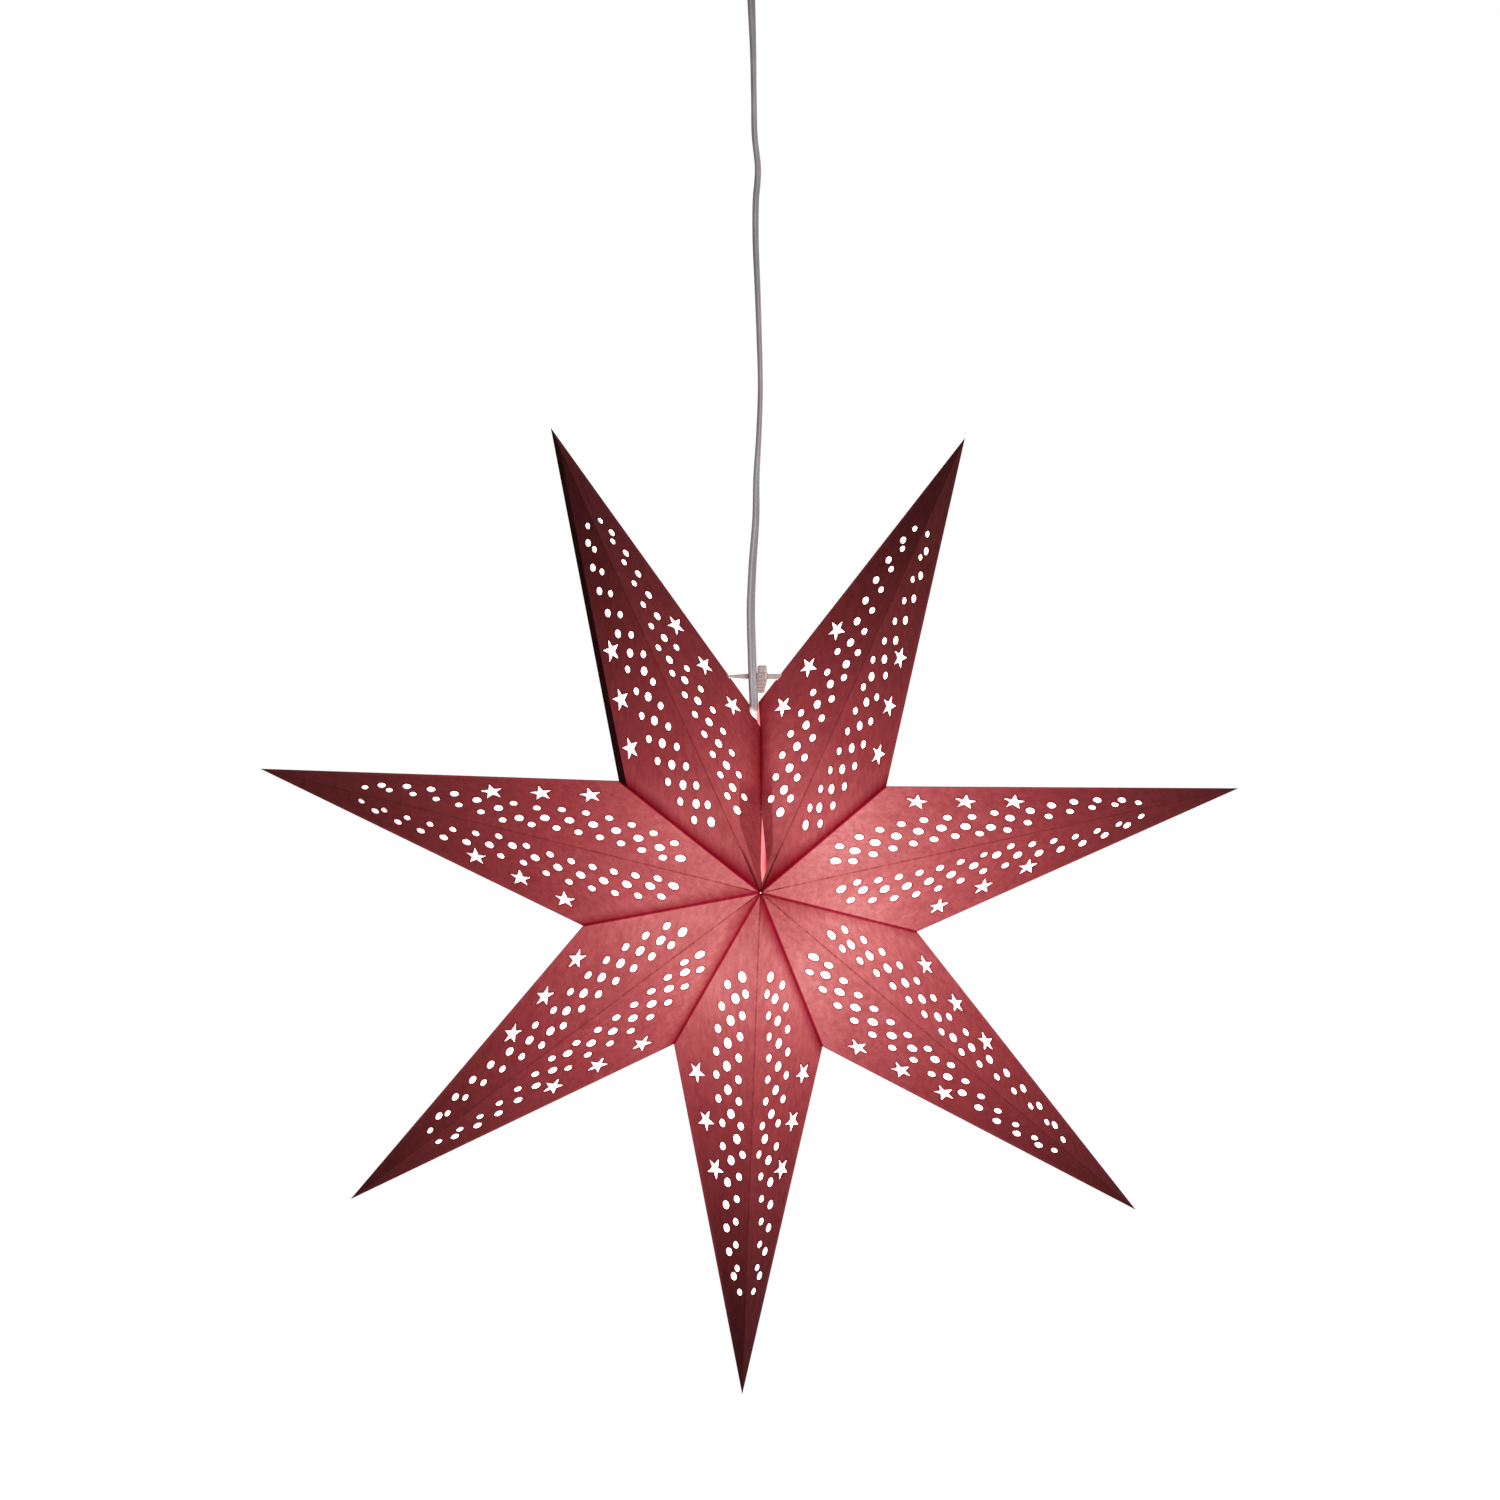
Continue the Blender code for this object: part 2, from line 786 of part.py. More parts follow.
def ceiling_plate():
    """A disc with a screw slot in front and behind, and a hole for the mains cable on the left."""
    slots = []
    for side in (-1, 1):
        half = screw_slot_length / 2 - screw_slot_width / 2
        slot = []
        for n in range(small_sides):
            turn = math.tau * (n + 1 / 2) / small_sides
            shift = math.copysign(half, math.sin(turn))
            middle = Vector((0.0, side * screw_slot_offset + shift))
            slot.append(middle + Vector((math.cos(turn), math.sin(turn))) * screw_slot_width / 2)
        slots.append(slot)
    disc = round_hole(Vector((0.0, 0.0)), plate_diameter, plate_sides)
    mains_hole = round_hole(Vector((-mains_hole_offset, 0.0)), mains_hole_diameter, small_sides)
    mesh = plate_mesh([disc, *slots, mains_hole], plate_thickness)
    mesh.transform(Matrix.Translation((0.0, 0.0, -plate_thickness / 2)))
    mesh_object("ceiling_plate", mesh, white_plastic)


hook_start = -plate_thickness - touching_gap
hook_middle = hook_start - hook_shank
hook_bottom = hook_middle - hook_radius
eye_top = hook_bottom + hook_wire / 2 + touching_gap + eye_wire / 2
eye_middle = eye_top - eye_radius
anchor_top = eye_middle - eye_radius + eye_wire / 4
anchor_foot = anchor_top - anchor_height


def ceiling_hook():
    """A round-bottomed hook under the middle of the plate."""
    steps = 8
    route = [Vector((0.0, hook_radius, hook_start))]
    for n in range(steps + 1):
        turn = math.pi * n / steps
        route.append(Vector((0.0, math.cos(turn) * hook_radius, hook_middle - math.sin(turn) * hook_radius)))
    route.append(Vector((0.0, -hook_radius, hook_middle + hook_tip)))
    mesh_object("ceiling_hook", tube_mesh(route, hook_wire, wire_resolution), steel, smooth=True)


def cord_anchor():
    """A clamp block on the cord's end, hung by its eye on the hook, with two clamp screws in front."""
    half_width, half_depth_y = anchor_width / 2, anchor_depth / 2
    block = box_mesh((-half_width, -half_depth_y, anchor_foot), (half_width, half_depth_y, anchor_top), anchor_bevel)
    anchor = mesh_object("cord_anchor", block, white_plastic)
    eye = bmesh.new()
    steps = 12
    ring = turned_mesh(
        [
            (eye_radius + math.cos(turn) * eye_wire / 2, math.sin(turn) * eye_wire / 2)
            for turn in (-math.tau * n / small_sides for n in range(small_sides))
        ],
        steps,
        closed=True,
    )
    eye.from_mesh(ring)
    eye.transform(Matrix.Translation((0.0, 0.0, eye_middle)) @ Matrix.Rotation(math.pi / 2, 4, "X"))
    bpy.data.meshes.remove(ring)
    combine(anchor, mesh_from(eye), "UNION")
    middle = (anchor_top + anchor_foot) / 2
    face = -half_depth_y - touching_gap
    for side, place in ((1, "upper"), (-1, "lower")):
        z = middle + side * anchor_screw_pitch / 2
        end = (0.0, face - anchor_screw_head, z)
        screw = rod_mesh(anchor_screw_diameter / 2, (0.0, face, z), end, small_sides)
        mesh_object(f"anchor_screw_{place}", screw, brass)


def terminals():
    """Terminal block under the plate, its screws in front, and the two cores that run to it."""
    top = -plate_thickness - touching_gap
    low = (terminal_offset - terminal_length / 2, -terminal_depth / 2, top - terminal_height)
    high = (terminal_offset + terminal_length / 2, terminal_depth / 2, top)
    mesh_object("terminal_block", box_mesh(low, high, terminal_bevel), white_plastic)
    face = low[1] - touching_gap
    for up, row in ((1, "upper"), (-1, "lower")):
        for across, column in ((-1, "left"), (1, "right")):
            x = terminal_offset + across * terminal_length / 4
            z = top - terminal_height / 2 + up * terminal_height / 4
            end = (x, face - terminal_screw_head, z)
            screw = rod_mesh(terminal_screw_diameter / 2, (x, face, z), end, small_sides)
            mesh_object(f"terminal_screw_{row}_{column}", screw, brass)
    start_x = anchor_width / 2 + touching_gap
    end_z = top - terminal_height - touching_gap
    start_z = anchor_top - core_drop
    bend = (terminal_offset - start_x) / 2
    for side, place in ((-1, "front"), (1, "back")):
        y = side * core_pitch / 2
        route = [(start_x, y, start_z)]
        steps = 6
        for n in range(steps + 1):
            turn = math.pi / 2 * n / steps
            x = terminal_offset - bend + math.sin(turn) * bend
            z = start_z + (1 - math.cos(turn)) * (end_z - start_z)
            route.append((x, y, z))
        lead = tube_mesh(route, core_diameter, wire_resolution)
        mesh_object(f"core_lead_{place}", lead, cord_sheath, smooth=True)


def ceiling_cup(parent):
    """A turned cup over the plate, with a flanged cord grip in its foot."""
    rim = -touching_gap
    foot = rim - cup_height
    profile = [
        (cup_radius * radius, rim - cup_height * height)
        for radius, height in zip(cup_radius_shares, cup_height_shares)
    ]
    profile.append((grip_flange_radius + cup_wall, foot))
    profile.append((cup_hole_radius, foot))
    mesh_object("ceiling_cup", turned_mesh(profile, cup_sides, wall=cup_wall), white_plastic, parent, True)
    bore = cord_tube_diameter / 2 + touching_gap
    neck = cup_hole_radius - touching_gap
    ledge = foot + cup_wall + touching_gap
    profile = [
        (bore, ledge + grip_flange_height),
        (grip_flange_radius, ledge + grip_flange_height),
        (grip_flange_radius, ledge),
        (neck, ledge),
        (neck, foot - grip_neck_height),
        (bore, foot - grip_neck_height),
    ]
    grip = mesh_object("cup_grip", turned_mesh(profile, grip_sides, closed=True), white_plastic, parent)
    screw_z = foot - grip_neck_height / 2
    hole = grip_screw_diameter / 2 + touching_gap
    inner = cord_place(screw_z).x + cord_tube_diameter / 2 + touching_gap
    outer = neck + grip_screw_head
    combine(grip, rod_mesh(hole, (bore / 2, 0.0, screw_z), (outer, 0.0, screw_z), small_sides), "DIFFERENCE")
    screw = rod_mesh(grip_screw_diameter / 2, (inner, 0.0, screw_z), (outer, 0.0, screw_z), small_sides)
    mesh_object("grip_screw", screw, white_plastic, parent)


def height_over_centre(height):
    return star_centre.z + height


def lampholder(parent):
    """A smooth lampholder: cap with a collar, body, insert, threaded shell and centre contact."""
    top = height_over_centre(holder_top)
    foot = top - holder_cap_height
    shoulder = top - holder_collar_height
    profile = [
        (0.0, top),
        (holder_collar_radius, top),
        (holder_collar_radius, shoulder),
        ((holder_collar_radius + holder_radius) / 2, shoulder - (shoulder - foot) / 8),
        (holder_radius * holder_mouth_share, (shoulder + foot) / 2),
        (holder_radius, foot),
        (0.0, foot),
    ]
    mesh_object("holder_cap", turned_mesh(profile, holder_sides), white_plastic, parent, True)
    screw_z = (top + shoulder) / 2
    start = holder_collar_radius + touching_gap
    screw = rod_mesh(
        collar_screw_diameter / 2, (start, 0.0, screw_z), (start + collar_screw_head, 0.0, screw_z), small_sides
    )
    mesh_object("collar_screw", screw, white_plastic, parent)

    body_top = foot - touching_gap
    mouth = body_top - holder_body_height
    profile = [(holder_radius, body_top), (holder_radius, (body_top + mouth) / 2)]
    profile.append((holder_radius * holder_mouth_share, mouth))
    body = turned_mesh(profile, holder_sides, wall=holder_wall)
    mesh_object("holder_body", body, white_plastic, parent, True)

    insert_foot = body_top - insert_height
    insert_radius = holder_radius - holder_wall - touching_gap
    neck_foot = insert_foot - insert_neck_height
    profile = [
        (0.0, body_top),
        (insert_radius, body_top),
        (insert_radius, insert_foot),
        (insert_neck_radius, insert_foot),
        (insert_neck_radius, neck_foot),
        (0.0, neck_foot),
    ]
    mesh_object("holder_insert", turned_mesh(profile, holder_sides), white_plastic, parent)

    shell_top = neck_foot - touching_gap
    profile = [(shell_radius, shell_top), (shell_radius, shell_top - shell_height)]
    shell = turned_mesh(profile, holder_sides, wall=shell_wall)
    mesh_object("holder_shell", shell, brass, parent)
    contact_foot = shell_top - contact_height
    contact = rod_mesh(contact_radius, (0.0, 0.0, shell_top), (0.0, 0.0, contact_foot), small_sides)
    mesh_object("centre_contact", contact, brass, parent)
    return contact_foot - touching_gap


def bulb(parent, top):
    """A globe bulb with its screw cap up in the holder. Top is the height of its tip contact."""
    cap_top = top - tip_height - insulator_height - 2 * touching_gap
    shoulder = bulb_cap_radius * bulb_cap_shoulder_share
    tip_radius_small = bulb_cap_radius * insulator_tip_share
    cap_foot = cap_top - bulb_cap_height
    profile = [
        (0.0, cap_top),
        (shoulder, cap_top),
        (bulb_cap_radius, cap_top - (bulb_cap_radius - shoulder)),
        (bulb_cap_radius, cap_foot),
        (0.0, cap_foot),
    ]
    mesh_object("bulb_cap", turned_mesh(profile, bulb_sides), nickel, parent, True)
    start = cap_top + touching_gap
    end = start + insulator_height
    insulator = rod_mesh(shoulder, (0.0, 0.0, start), (0.0, 0.0, end), small_sides, tip_radius_small)
    mesh_object("bulb_insulator", insulator, black_glass, parent)
    tip = rod_mesh(tip_radius_small, (0.0, 0.0, end + touching_gap), (0.0, 0.0, top), small_sides)
    mesh_object("bulb_tip", tip, nickel, parent)

    housing_top = cap_foot - touching_gap
    housing_foot = housing_top - housing_height
    profile = [
        (0.0, housing_top),
        (globe_neck_radius * housing_neck_share, housing_top),
        (globe_neck_radius * housing_neck_share, housing_top - housing_height / 4),
        (globe_neck_radius, housing_foot + housing_height / 8),
        (globe_neck_radius, housing_foot),
        (0.0, housing_foot),
    ]
    mesh_object("bulb_housing", turned_mesh(profile, bulb_sides), white_plastic, parent, True)
    board_top = housing_foot - touching_gap
    board = rod_mesh(board_radius, (0.0, 0.0, board_top), (0.0, 0.0, board_top - board_thickness), bulb_sides)
    mesh_object("led_board", board, aluminium, parent)

    rim_turn = math.asin(globe_neck_radius / globe_radius)
    middle = board_top - math.cos(rim_turn) * globe_radius
    profile = []
    for n in range(globe_steps + 1):
        turn = rim_turn + (math.pi - rim_turn) * n / globe_steps
        radius = 0.0 if n == globe_steps else math.sin(turn) * globe_radius
        profile.append((radius, middle + math.cos(turn) * globe_radius))
    mesh_object("bulb_globe", turned_mesh(profile, bulb_sides, wall=globe_wall), opal, parent, True)


def cord(parent):
    route = smooth_route(cord_route, cord_point_spacing)
    mesh_object("cord", tube_mesh(route, cord_tube_diameter, cord_resolution), cord_sheath, parent, True)


for old in list(bpy.data.objects):
    bpy.data.objects.remove(old)

parts = new_collection("paper_star_lantern")
cutters = new_collection("cutters")

red_paper = material("red_paper", (0.14, 0.012, 0.018), 0.85)
clear_plastic = material("clear_plastic", (0.55, 0.5, 0.49), 0.3, alpha=0.6)
white_plastic = material("white_plastic", (0.8, 0.8, 0.78), 0.4)
cord_sheath = material("cord_sheath", (0.35, 0.33, 0.34), 0.5)
steel = material("steel", (0.55, 0.55, 0.56), 0.3, metallic=1.0)
brass = material("brass", (0.75, 0.58, 0.3), 0.3, metallic=1.0)
nickel = material("nickel", (0.66, 0.64, 0.6), 0.25, metallic=1.0)
aluminium = material("aluminium", (0.8, 0.8, 0.8), 0.4, metallic=1.0)
black_glass = material("black_glass", (0.02, 0.02, 0.022), 0.2)
opal = material("opal", (0.95, 0.93, 0.88), 0.35)

ceiling_plate()
ceiling_hook()
cord_anchor()
terminals()
ceiling_cup(joint_empty("cup_slide", Vector((0.0, 0.0, 0.0))))
pendant_turn = joint_empty("pendant_turn", Vector((0.0, 0.0, anchor_foot)))
cord(pendant_turn)
bulb_top = lampholder(pendant_turn)
bulb(joint_empty("bulb_screw", Vector((0.0, 0.0, bulb_top)), pendant_turn), bulb_top)
point_hinges = star_hinges(pendant_turn)
star_panels(point_hinges)
cord_clip(point_hinges[point_names[point_count // 2]])
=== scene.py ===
"""Paper star lantern: folded, punched paper points lit from inside, with cord, clip, lamp and ceiling fittings.

Metres, +Z up. The origin is the middle of the ceiling plate's top face, and the front of the star faces -Y.
Left and right of a point are as seen from the front with that point's tip turned up.
"""

import json
import math
from types import SimpleNamespace

import bpy
import numpy as np
from bpy.props import FloatProperty, FloatVectorProperty, IntProperty, PointerProperty
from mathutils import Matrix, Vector
from mathutils.geometry import delaunay_2d_cdt


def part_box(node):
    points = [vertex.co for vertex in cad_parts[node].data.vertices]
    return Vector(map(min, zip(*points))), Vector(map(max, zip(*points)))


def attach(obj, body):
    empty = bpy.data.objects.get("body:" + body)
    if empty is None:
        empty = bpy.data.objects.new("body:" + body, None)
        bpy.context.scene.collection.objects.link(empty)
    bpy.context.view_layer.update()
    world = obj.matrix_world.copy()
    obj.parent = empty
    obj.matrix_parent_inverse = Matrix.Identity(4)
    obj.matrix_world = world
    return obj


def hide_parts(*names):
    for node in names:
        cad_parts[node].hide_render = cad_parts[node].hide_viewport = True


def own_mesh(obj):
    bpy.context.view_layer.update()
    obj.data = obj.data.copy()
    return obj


bl_info = {
    "name": "Paper Star Lantern",
    "version": (1, 0, 0),
    "blender": (4, 5, 0),
    "location": "3D View > Sidebar > Lantern",
    "description": "Builds the paper, cord, clip, lamp and ceiling fittings of a seven-pointed star lantern",
    "category": "Object",
}

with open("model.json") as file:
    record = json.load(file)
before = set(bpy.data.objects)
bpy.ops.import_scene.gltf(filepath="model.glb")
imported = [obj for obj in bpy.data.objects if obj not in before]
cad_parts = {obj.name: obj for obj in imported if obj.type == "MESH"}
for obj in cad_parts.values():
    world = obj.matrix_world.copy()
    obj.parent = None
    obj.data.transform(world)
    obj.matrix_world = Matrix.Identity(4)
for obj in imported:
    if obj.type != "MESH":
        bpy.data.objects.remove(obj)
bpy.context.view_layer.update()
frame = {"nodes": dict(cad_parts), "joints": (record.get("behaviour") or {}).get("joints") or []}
joint_places = {joint["name"]: joint.get("pos_m") for joint in frame["joints"]}
star_drop = -joint_places["lower_right_point_fold"][2]

point_names = (
    "top_right_point",
    "right_point",
    "lower_right_point",
    "bottom_point",
    "lower_left_point",
    "left_point",
    "top_left_point",
)
point_count = len(point_names)
half_point = math.pi / point_count
merge_distance = 1e-5

# Rows of points along a panel's sides and its flaps
ridge_rows, valley_rows, flap_rows, seam_rows, rolled_rows = 24, 16, 14, 40, 14
star_points = 5

# The cord's route, listed point by point: across, towards the back, up
cord_route = (
    (0.0, 0.0, -0.0363),
    (0.0, 0.0, -0.044),
    (0.0003, 0.0, -0.053),
    (0.0013, 0.0, -0.081),
    (0.0018, 0.0, -0.110),
    (0.0022, 0.0, -0.131),
    (0.0041, 0.0, -0.149),
    (0.0039, 0.0, -0.159),
    (0.0029, 0.0, -0.171),
    (0.0028, 0.0, -0.194),
    (0.0040, 0.0, -0.225),
    (0.0050, 0.0, -0.254),
    (0.0056, -0.0003, -0.283),
    (0.0047, -0.0006, -0.311),
    (0.0032, -0.0010, -0.337),
    (0.0028, -0.0014, -0.362),
    (0.0008, -0.0020, -0.390),
    (-0.0003, -0.0027, -0.417),
    (0.0003, -0.0034, -0.443),
    (0.0009, -0.0034, -0.461),
    (0.0016, -0.0022, -0.474),
    (0.0016, -0.0008, -0.486),
    (0.0004, 0.0, -0.497),
    (0.0, 0.0, -0.5067),
)


def length(description, default):
    return FloatProperty(description=description, default=default, unit="LENGTH", precision=5)


def share(description, default):
    return FloatProperty(description=description, default=default, subtype="FACTOR")


def angle(description, degrees):
    return FloatProperty(description=description, default=math.radians(degrees), subtype="ANGLE")


def colour(description, default):
    return FloatVectorProperty(description=description, default=default, subtype="COLOR", size=3)


def numbers(description, default):
    return FloatVectorProperty(description=description, default=default, size=len(default))


def number(description, default):
    return FloatProperty(description=description, default=default)


def whole(description, default):
    return IntProperty(description=description, default=default)


class PaperSizes(bpy.types.PropertyGroup):
    """Folded paper: one sheet for each point."""

    tip_radius: length("Star's centre to a tip", 0.302)
    valley_radius: length("Star's centre to a valley's outer corner", 0.103)
    half_depth: length("Star's middle plane to its front corner", 0.073)
    roll: angle("How far the whole star is turned clockwise", 1.0)
    lean_degrees: numbers("How far each tip leans anticlockwise", (1.35, 0, 0, 0, 0, 0, -1.25))
    thickness: length("Thickness of the paper", 0.0004)
    gap: length("Between a glue flap and the paper over it", 0.0003)
    swell: length("How far the middle of a panel bows out", 0.0006)
    flap_width: length("Width of a glue flap", 0.0078)
    flap_foot_gap: length("Lower end of a flap to the star's centre", 0.016)
    flap_top_gap: length("Upper end of a flap to the valley's outer corner", 0.007)
    end_flap_widths: numbers("Turned-in flaps at the open seam, right and left", (0.0098, 0.0160))
    end_flap_start: length("Upper end of those flaps to the seam's top", 0.060)
    seam_lean: length("How far the seam lies to the right of its straight line", 0.0011)
    seam_overlap: length("Left edge under the right one where the seam is closed", 0.0004)
    seam_gap: length("Widest opening of the seam between the top points", 0.0040)
    seam_slit: numbers("Where the slit starts, is full, starts to close and is closed", (0.070, 0.108, 0.1115, 0.1215))
    hem_flare: length("How far the right hem's foot stands out to the left at the slit", 0.0052)
    notch_way: length("Start of the cord's notch along the top left point's outer edge", 0.0078)
    notch_depth: length("Depth of the cord's notch down the seam", 0.0075)
    nick_depth: length("Depth of the cross bar's nicks in the outer edges", 0.0011)
    notch_foot: length("Right hem's corner to the foot of the notch", 0.0180)
    sag: length("How far the front's centre hangs under the star's middle", 0.0021)
    seam_shift: length("How far the seam's top lies to the right", 0.0028)
    seam_rises: numbers("How much higher the seam's corners lie, right and left", (0.0101, 0.0011))
    rolled_width: length("Back of the top left point that shows beside its left panel", 0.0058)
    centre_gap: length("Each sheet's trimmed corner at the star's centre", 0.0003)
    grid: length("Spacing of the points that carry a panel's bow", 0.008)


class PatternSizes(bpy.types.PropertyGroup):
    """Punched dots and stars, placed by shares of the ridge's length and of the valley corner's height."""

    large_dot: length("Diameter of the dots in the middle row", 0.0065)
    small_dot: length("Diameter of the dots in the side rows", 0.0054)
    dot_narrowing: share("How much smaller a dot at the tip would be", 0.37)
    dot_scales: numbers("Size of a point's dots", (0.98, 1.07, 1.07, 1.07, 1.05, 1.01, 0.95))
    rim: length("Width of the pressed rim round a hole", 0.0009)
    slides: numbers("How far a point's holes lie inwards", (0.0036, 0.0026, 0.0016, 0.0013, 0.0020, 0.0025, 0.0026))
    skews: numbers("Anticlockwise lean of a point's holes, as a slope", (0.005, 0, 0, 0.004, 0, 0, -0.003))
    lowering: length("How much nearer to the ridge the holes lie", 0.0008)
    dot_sides: whole("Corners round one dot", 20)
    row_dots: whole("Dots in the middle row", 14)
    outer_dots: whole("Dots in the outer row", 8)
    row_spread: length("Middle row to the outer row", 0.009)
    first_share: share("Place of the first dot", 0.177)
    pitch_share: share("Step from dot to dot", 0.0457)
    arch_change_share: share("Where the second arch takes over", 0.49)
    arch_middle_shares: numbers("Middles of the rows' two arches", (0.3375, 0.654))
    arch_half_shares: numbers("Half lengths of those arches", (0.1607, 0.1555))
    arch_foot_share: share("Height of the middle row's arch ends", 0.2)
    arch_rise_share: share("Rise of the middle row's arches", 0.151)
    foot_fall_share: share("How the second arch's foot falls towards the tip", 0.288)
    inner_foot_shares: numbers("Heights of the inner row's arch ends", (0.125, 0.094))
    inner_rise_shares: numbers("Rises of the inner row's arches", (0.083, 0.088))
    inner_shift: length("Shift of the inner row's second arch towards the tip", 0.0015)
    cutout_radius: length("Radius of a star cut-out's points", 0.0072)
    cutout_waist: share("A star cut-out's inner corners over its points", 0.41)
    cutout_inset: length("A star cut-out's middle to the outer edge", 0.013)
    cutout_count: whole("Star cut-outs on a panel", 3)
    first_cutout_share: share("Place of the first star along the outer edge", 0.0877)
    cutout_pitch_share: share("Step from star to star along the outer edge", 0.1368)
    seam_cutout_slides: numbers("Stars beside the seam, towards its corner", (0.0070, 0.0017))
    seam_cutout_insets: numbers("Stars right of the seam, further in, lowest first", (0.0041, 0.0008, 0.0008))
    cutout_turn: angle("A star cut-out's turn from the ridge towards the outer edge", -12.5)


class GlowLook(bpy.types.PropertyGroup):
    """How the lamp shows through the paper, point by point, clockwise from the top right."""

    strengths: numbers("Brightness near the lamp", (0.77, 0.89, 0.91, 0.96, 0.785, 0.70, 0.62))
    falls: numbers("How fast the light fades towards the tip", (2.5, 1.52, 1.63, 2.2, 1.66, 2.0, 2.3))
    tails: numbers("Light that reaches the tip", (0.0, 0.031, 0.021, 0.002, 0.007, 0.026, 0.0))
    core_dimmings: numbers("How much darker a point is near the centre", (0.62, 0.35, 0.47, 0.44, 0.16, 0.12, 0.28))
    core_reach: length("How far from the centre that reaches", 0.040)
    valley_lift: share("How much brighter the valleys are beside the lamp", 0.16)
    valley_lift_place: length("Where along the ridge that is strongest", 0.073)
    valley_lift_reach: length("How far along the ridge that reaches", 0.030)
    shades: numbers("How dark the left panel is at its valley", (0.85, 0.0, 0.5, 1.05, 0.9, 0.95, 1.15))
    right_shades: numbers("The same on the right panel", (1.2, 0.0, 0.0, 0.0, 0.0, 0.0, 0.75))
    shade_width: length("Reach of that shade in a valley's outer half", 0.0085)
    shade_start: length("Its reach at the star's centre", 0.016)
    seam_shade_width: length("How much further it reaches beside the open seam", 0.009)
    # crimson also paints the glue flaps' and the seam's shade into the base colour
    crimson: colour("What two layers of paper let through", (0.50, 0.04, 0.14))
    paper: colour("The unlit paper", (0.080, 0.0159, 0.0168))
    inside: colour("The lit inner face", (1.0, 0.965, 0.93))
    edge: colour("Punched edges of the paper", (0.20, 0.012, 0.03))
    fold: colour("The open seam's right hem, which the lamp shines through", (1.0, 0.31, 0.30))
    # rolled: a darker copy of the paper colour, painted shade for the unlit back beside the top left point
    rolled: colour("Paper of the unlit back beside the top left point", (0.030, 0.0085, 0.0075))


class CordSizes(bpy.types.PropertyGroup):
    """Flat two-core cord."""

    width: length("Width over both cores", 0.0054)
    thickness: length("Thickness over one core", 0.0033)
    step: length("Length of cord between two rings of the mesh", 0.0025)
    sides: whole("Corners round the cord", 36)
    groove: share("Depth of the groove between the cores over the thickness", 0.16)
    lit_height: length("Height under which the lamp lights the cord from below", -0.4752)
    lit_slope: number("How that height falls towards the right", 0.55)
    sheath: colour("Outside of the cord", (0.31, 0.263, 0.28))


class ClipSizes(bpy.types.PropertyGroup):
    """Cross bar and ribbed wedge of the cord clip."""

    bar_height: length("Height of the cross bar", 0.0030)
    bar_tip_height: length("Height of the bar's tapered left end", 0.0013)
    bar_thickness: length("Thickness of the cross bar", 0.002)
    taper_start: length("Cord to the start of the bar's taper", 0.003)
    taper_end: length("Cord to the end of the bar's taper", 0.0125)
    knob_height: length("Height of the bar's end knobs", 0.0042)
    knob_length: length("Length of the bar's end knobs", 0.0024)
    knob_rounding: length("Rounding of the bar's and the wedge's ends", 0.0008)
    socket_width: length("Width of the socket beside the cord", 0.0066)
    socket_height: length("Height of the socket", 0.004)
    socket_wall: length("Wall round the wedge", 0.0005)
    clearance: length("Between the wedge's head and the socket", 0.0002)
    head_width: length("Width of the wedge's head", 0.0054)
    head_drop: length("How far the head's top lies under the wedge's full height", 0.0011)
    tongue_width: length("Width of the wedge's tongue at its top", 0.0065)
    tongue_depth: length("Thickness of the wedge's tongue", 0.0044)
    tip_share: share("Width of the tongue's foot over its top", 0.69)
    ribs: whole("Ribs on the tongue", 4)
    groove_depth: length("Depth of the grooves between the ribs", 0.0007)
    dent: length("Side of the square moulding dents", 0.0016)
    dent_shift: length("Dents' middle to the left of the socket's", 0.0011)
    dent_depth: length("Depth of the moulding dents", 0.0007)
    plastic: colour("Greyed clear plastic", (0.42, 0.335, 0.31))
    underlight: colour("Light of the star on the clip's lower faces", (0.30, 0.19, 0.17))


class LampLook(bpy.types.PropertyGroup):
    """Lampholder and bulb."""

    sides: whole("Corners round a turned piece", 72)
    collar_radius: length("Radius of the holder's collar", 0.0062)
    collar_height: length("Height of the holder's collar", 0.008)
    wall: length("Wall of the holder's body", 0.0014)
    groove: length("Depth of the grip grooves round the holder", 0.0003)
    shell_wall: length("Wall of the threaded shell", 0.0004)
    thread_pitch: length("Pitch of the bulb's screw cap", 0.0028)
    thread_depth: length("Half the height of the thread", 0.0003)
    globe_wall: length("Wall of the opal globe", 0.001)
    white: colour("Holder and bulb housing", (0.80, 0.79, 0.76))
    brass: colour("Threaded shell and contact", (0.75, 0.58, 0.30))
    nickel: colour("Bulb's screw cap", (0.66, 0.64, 0.60))
    light: colour("Lit diffuser", (0.80, 0.63, 0.42))


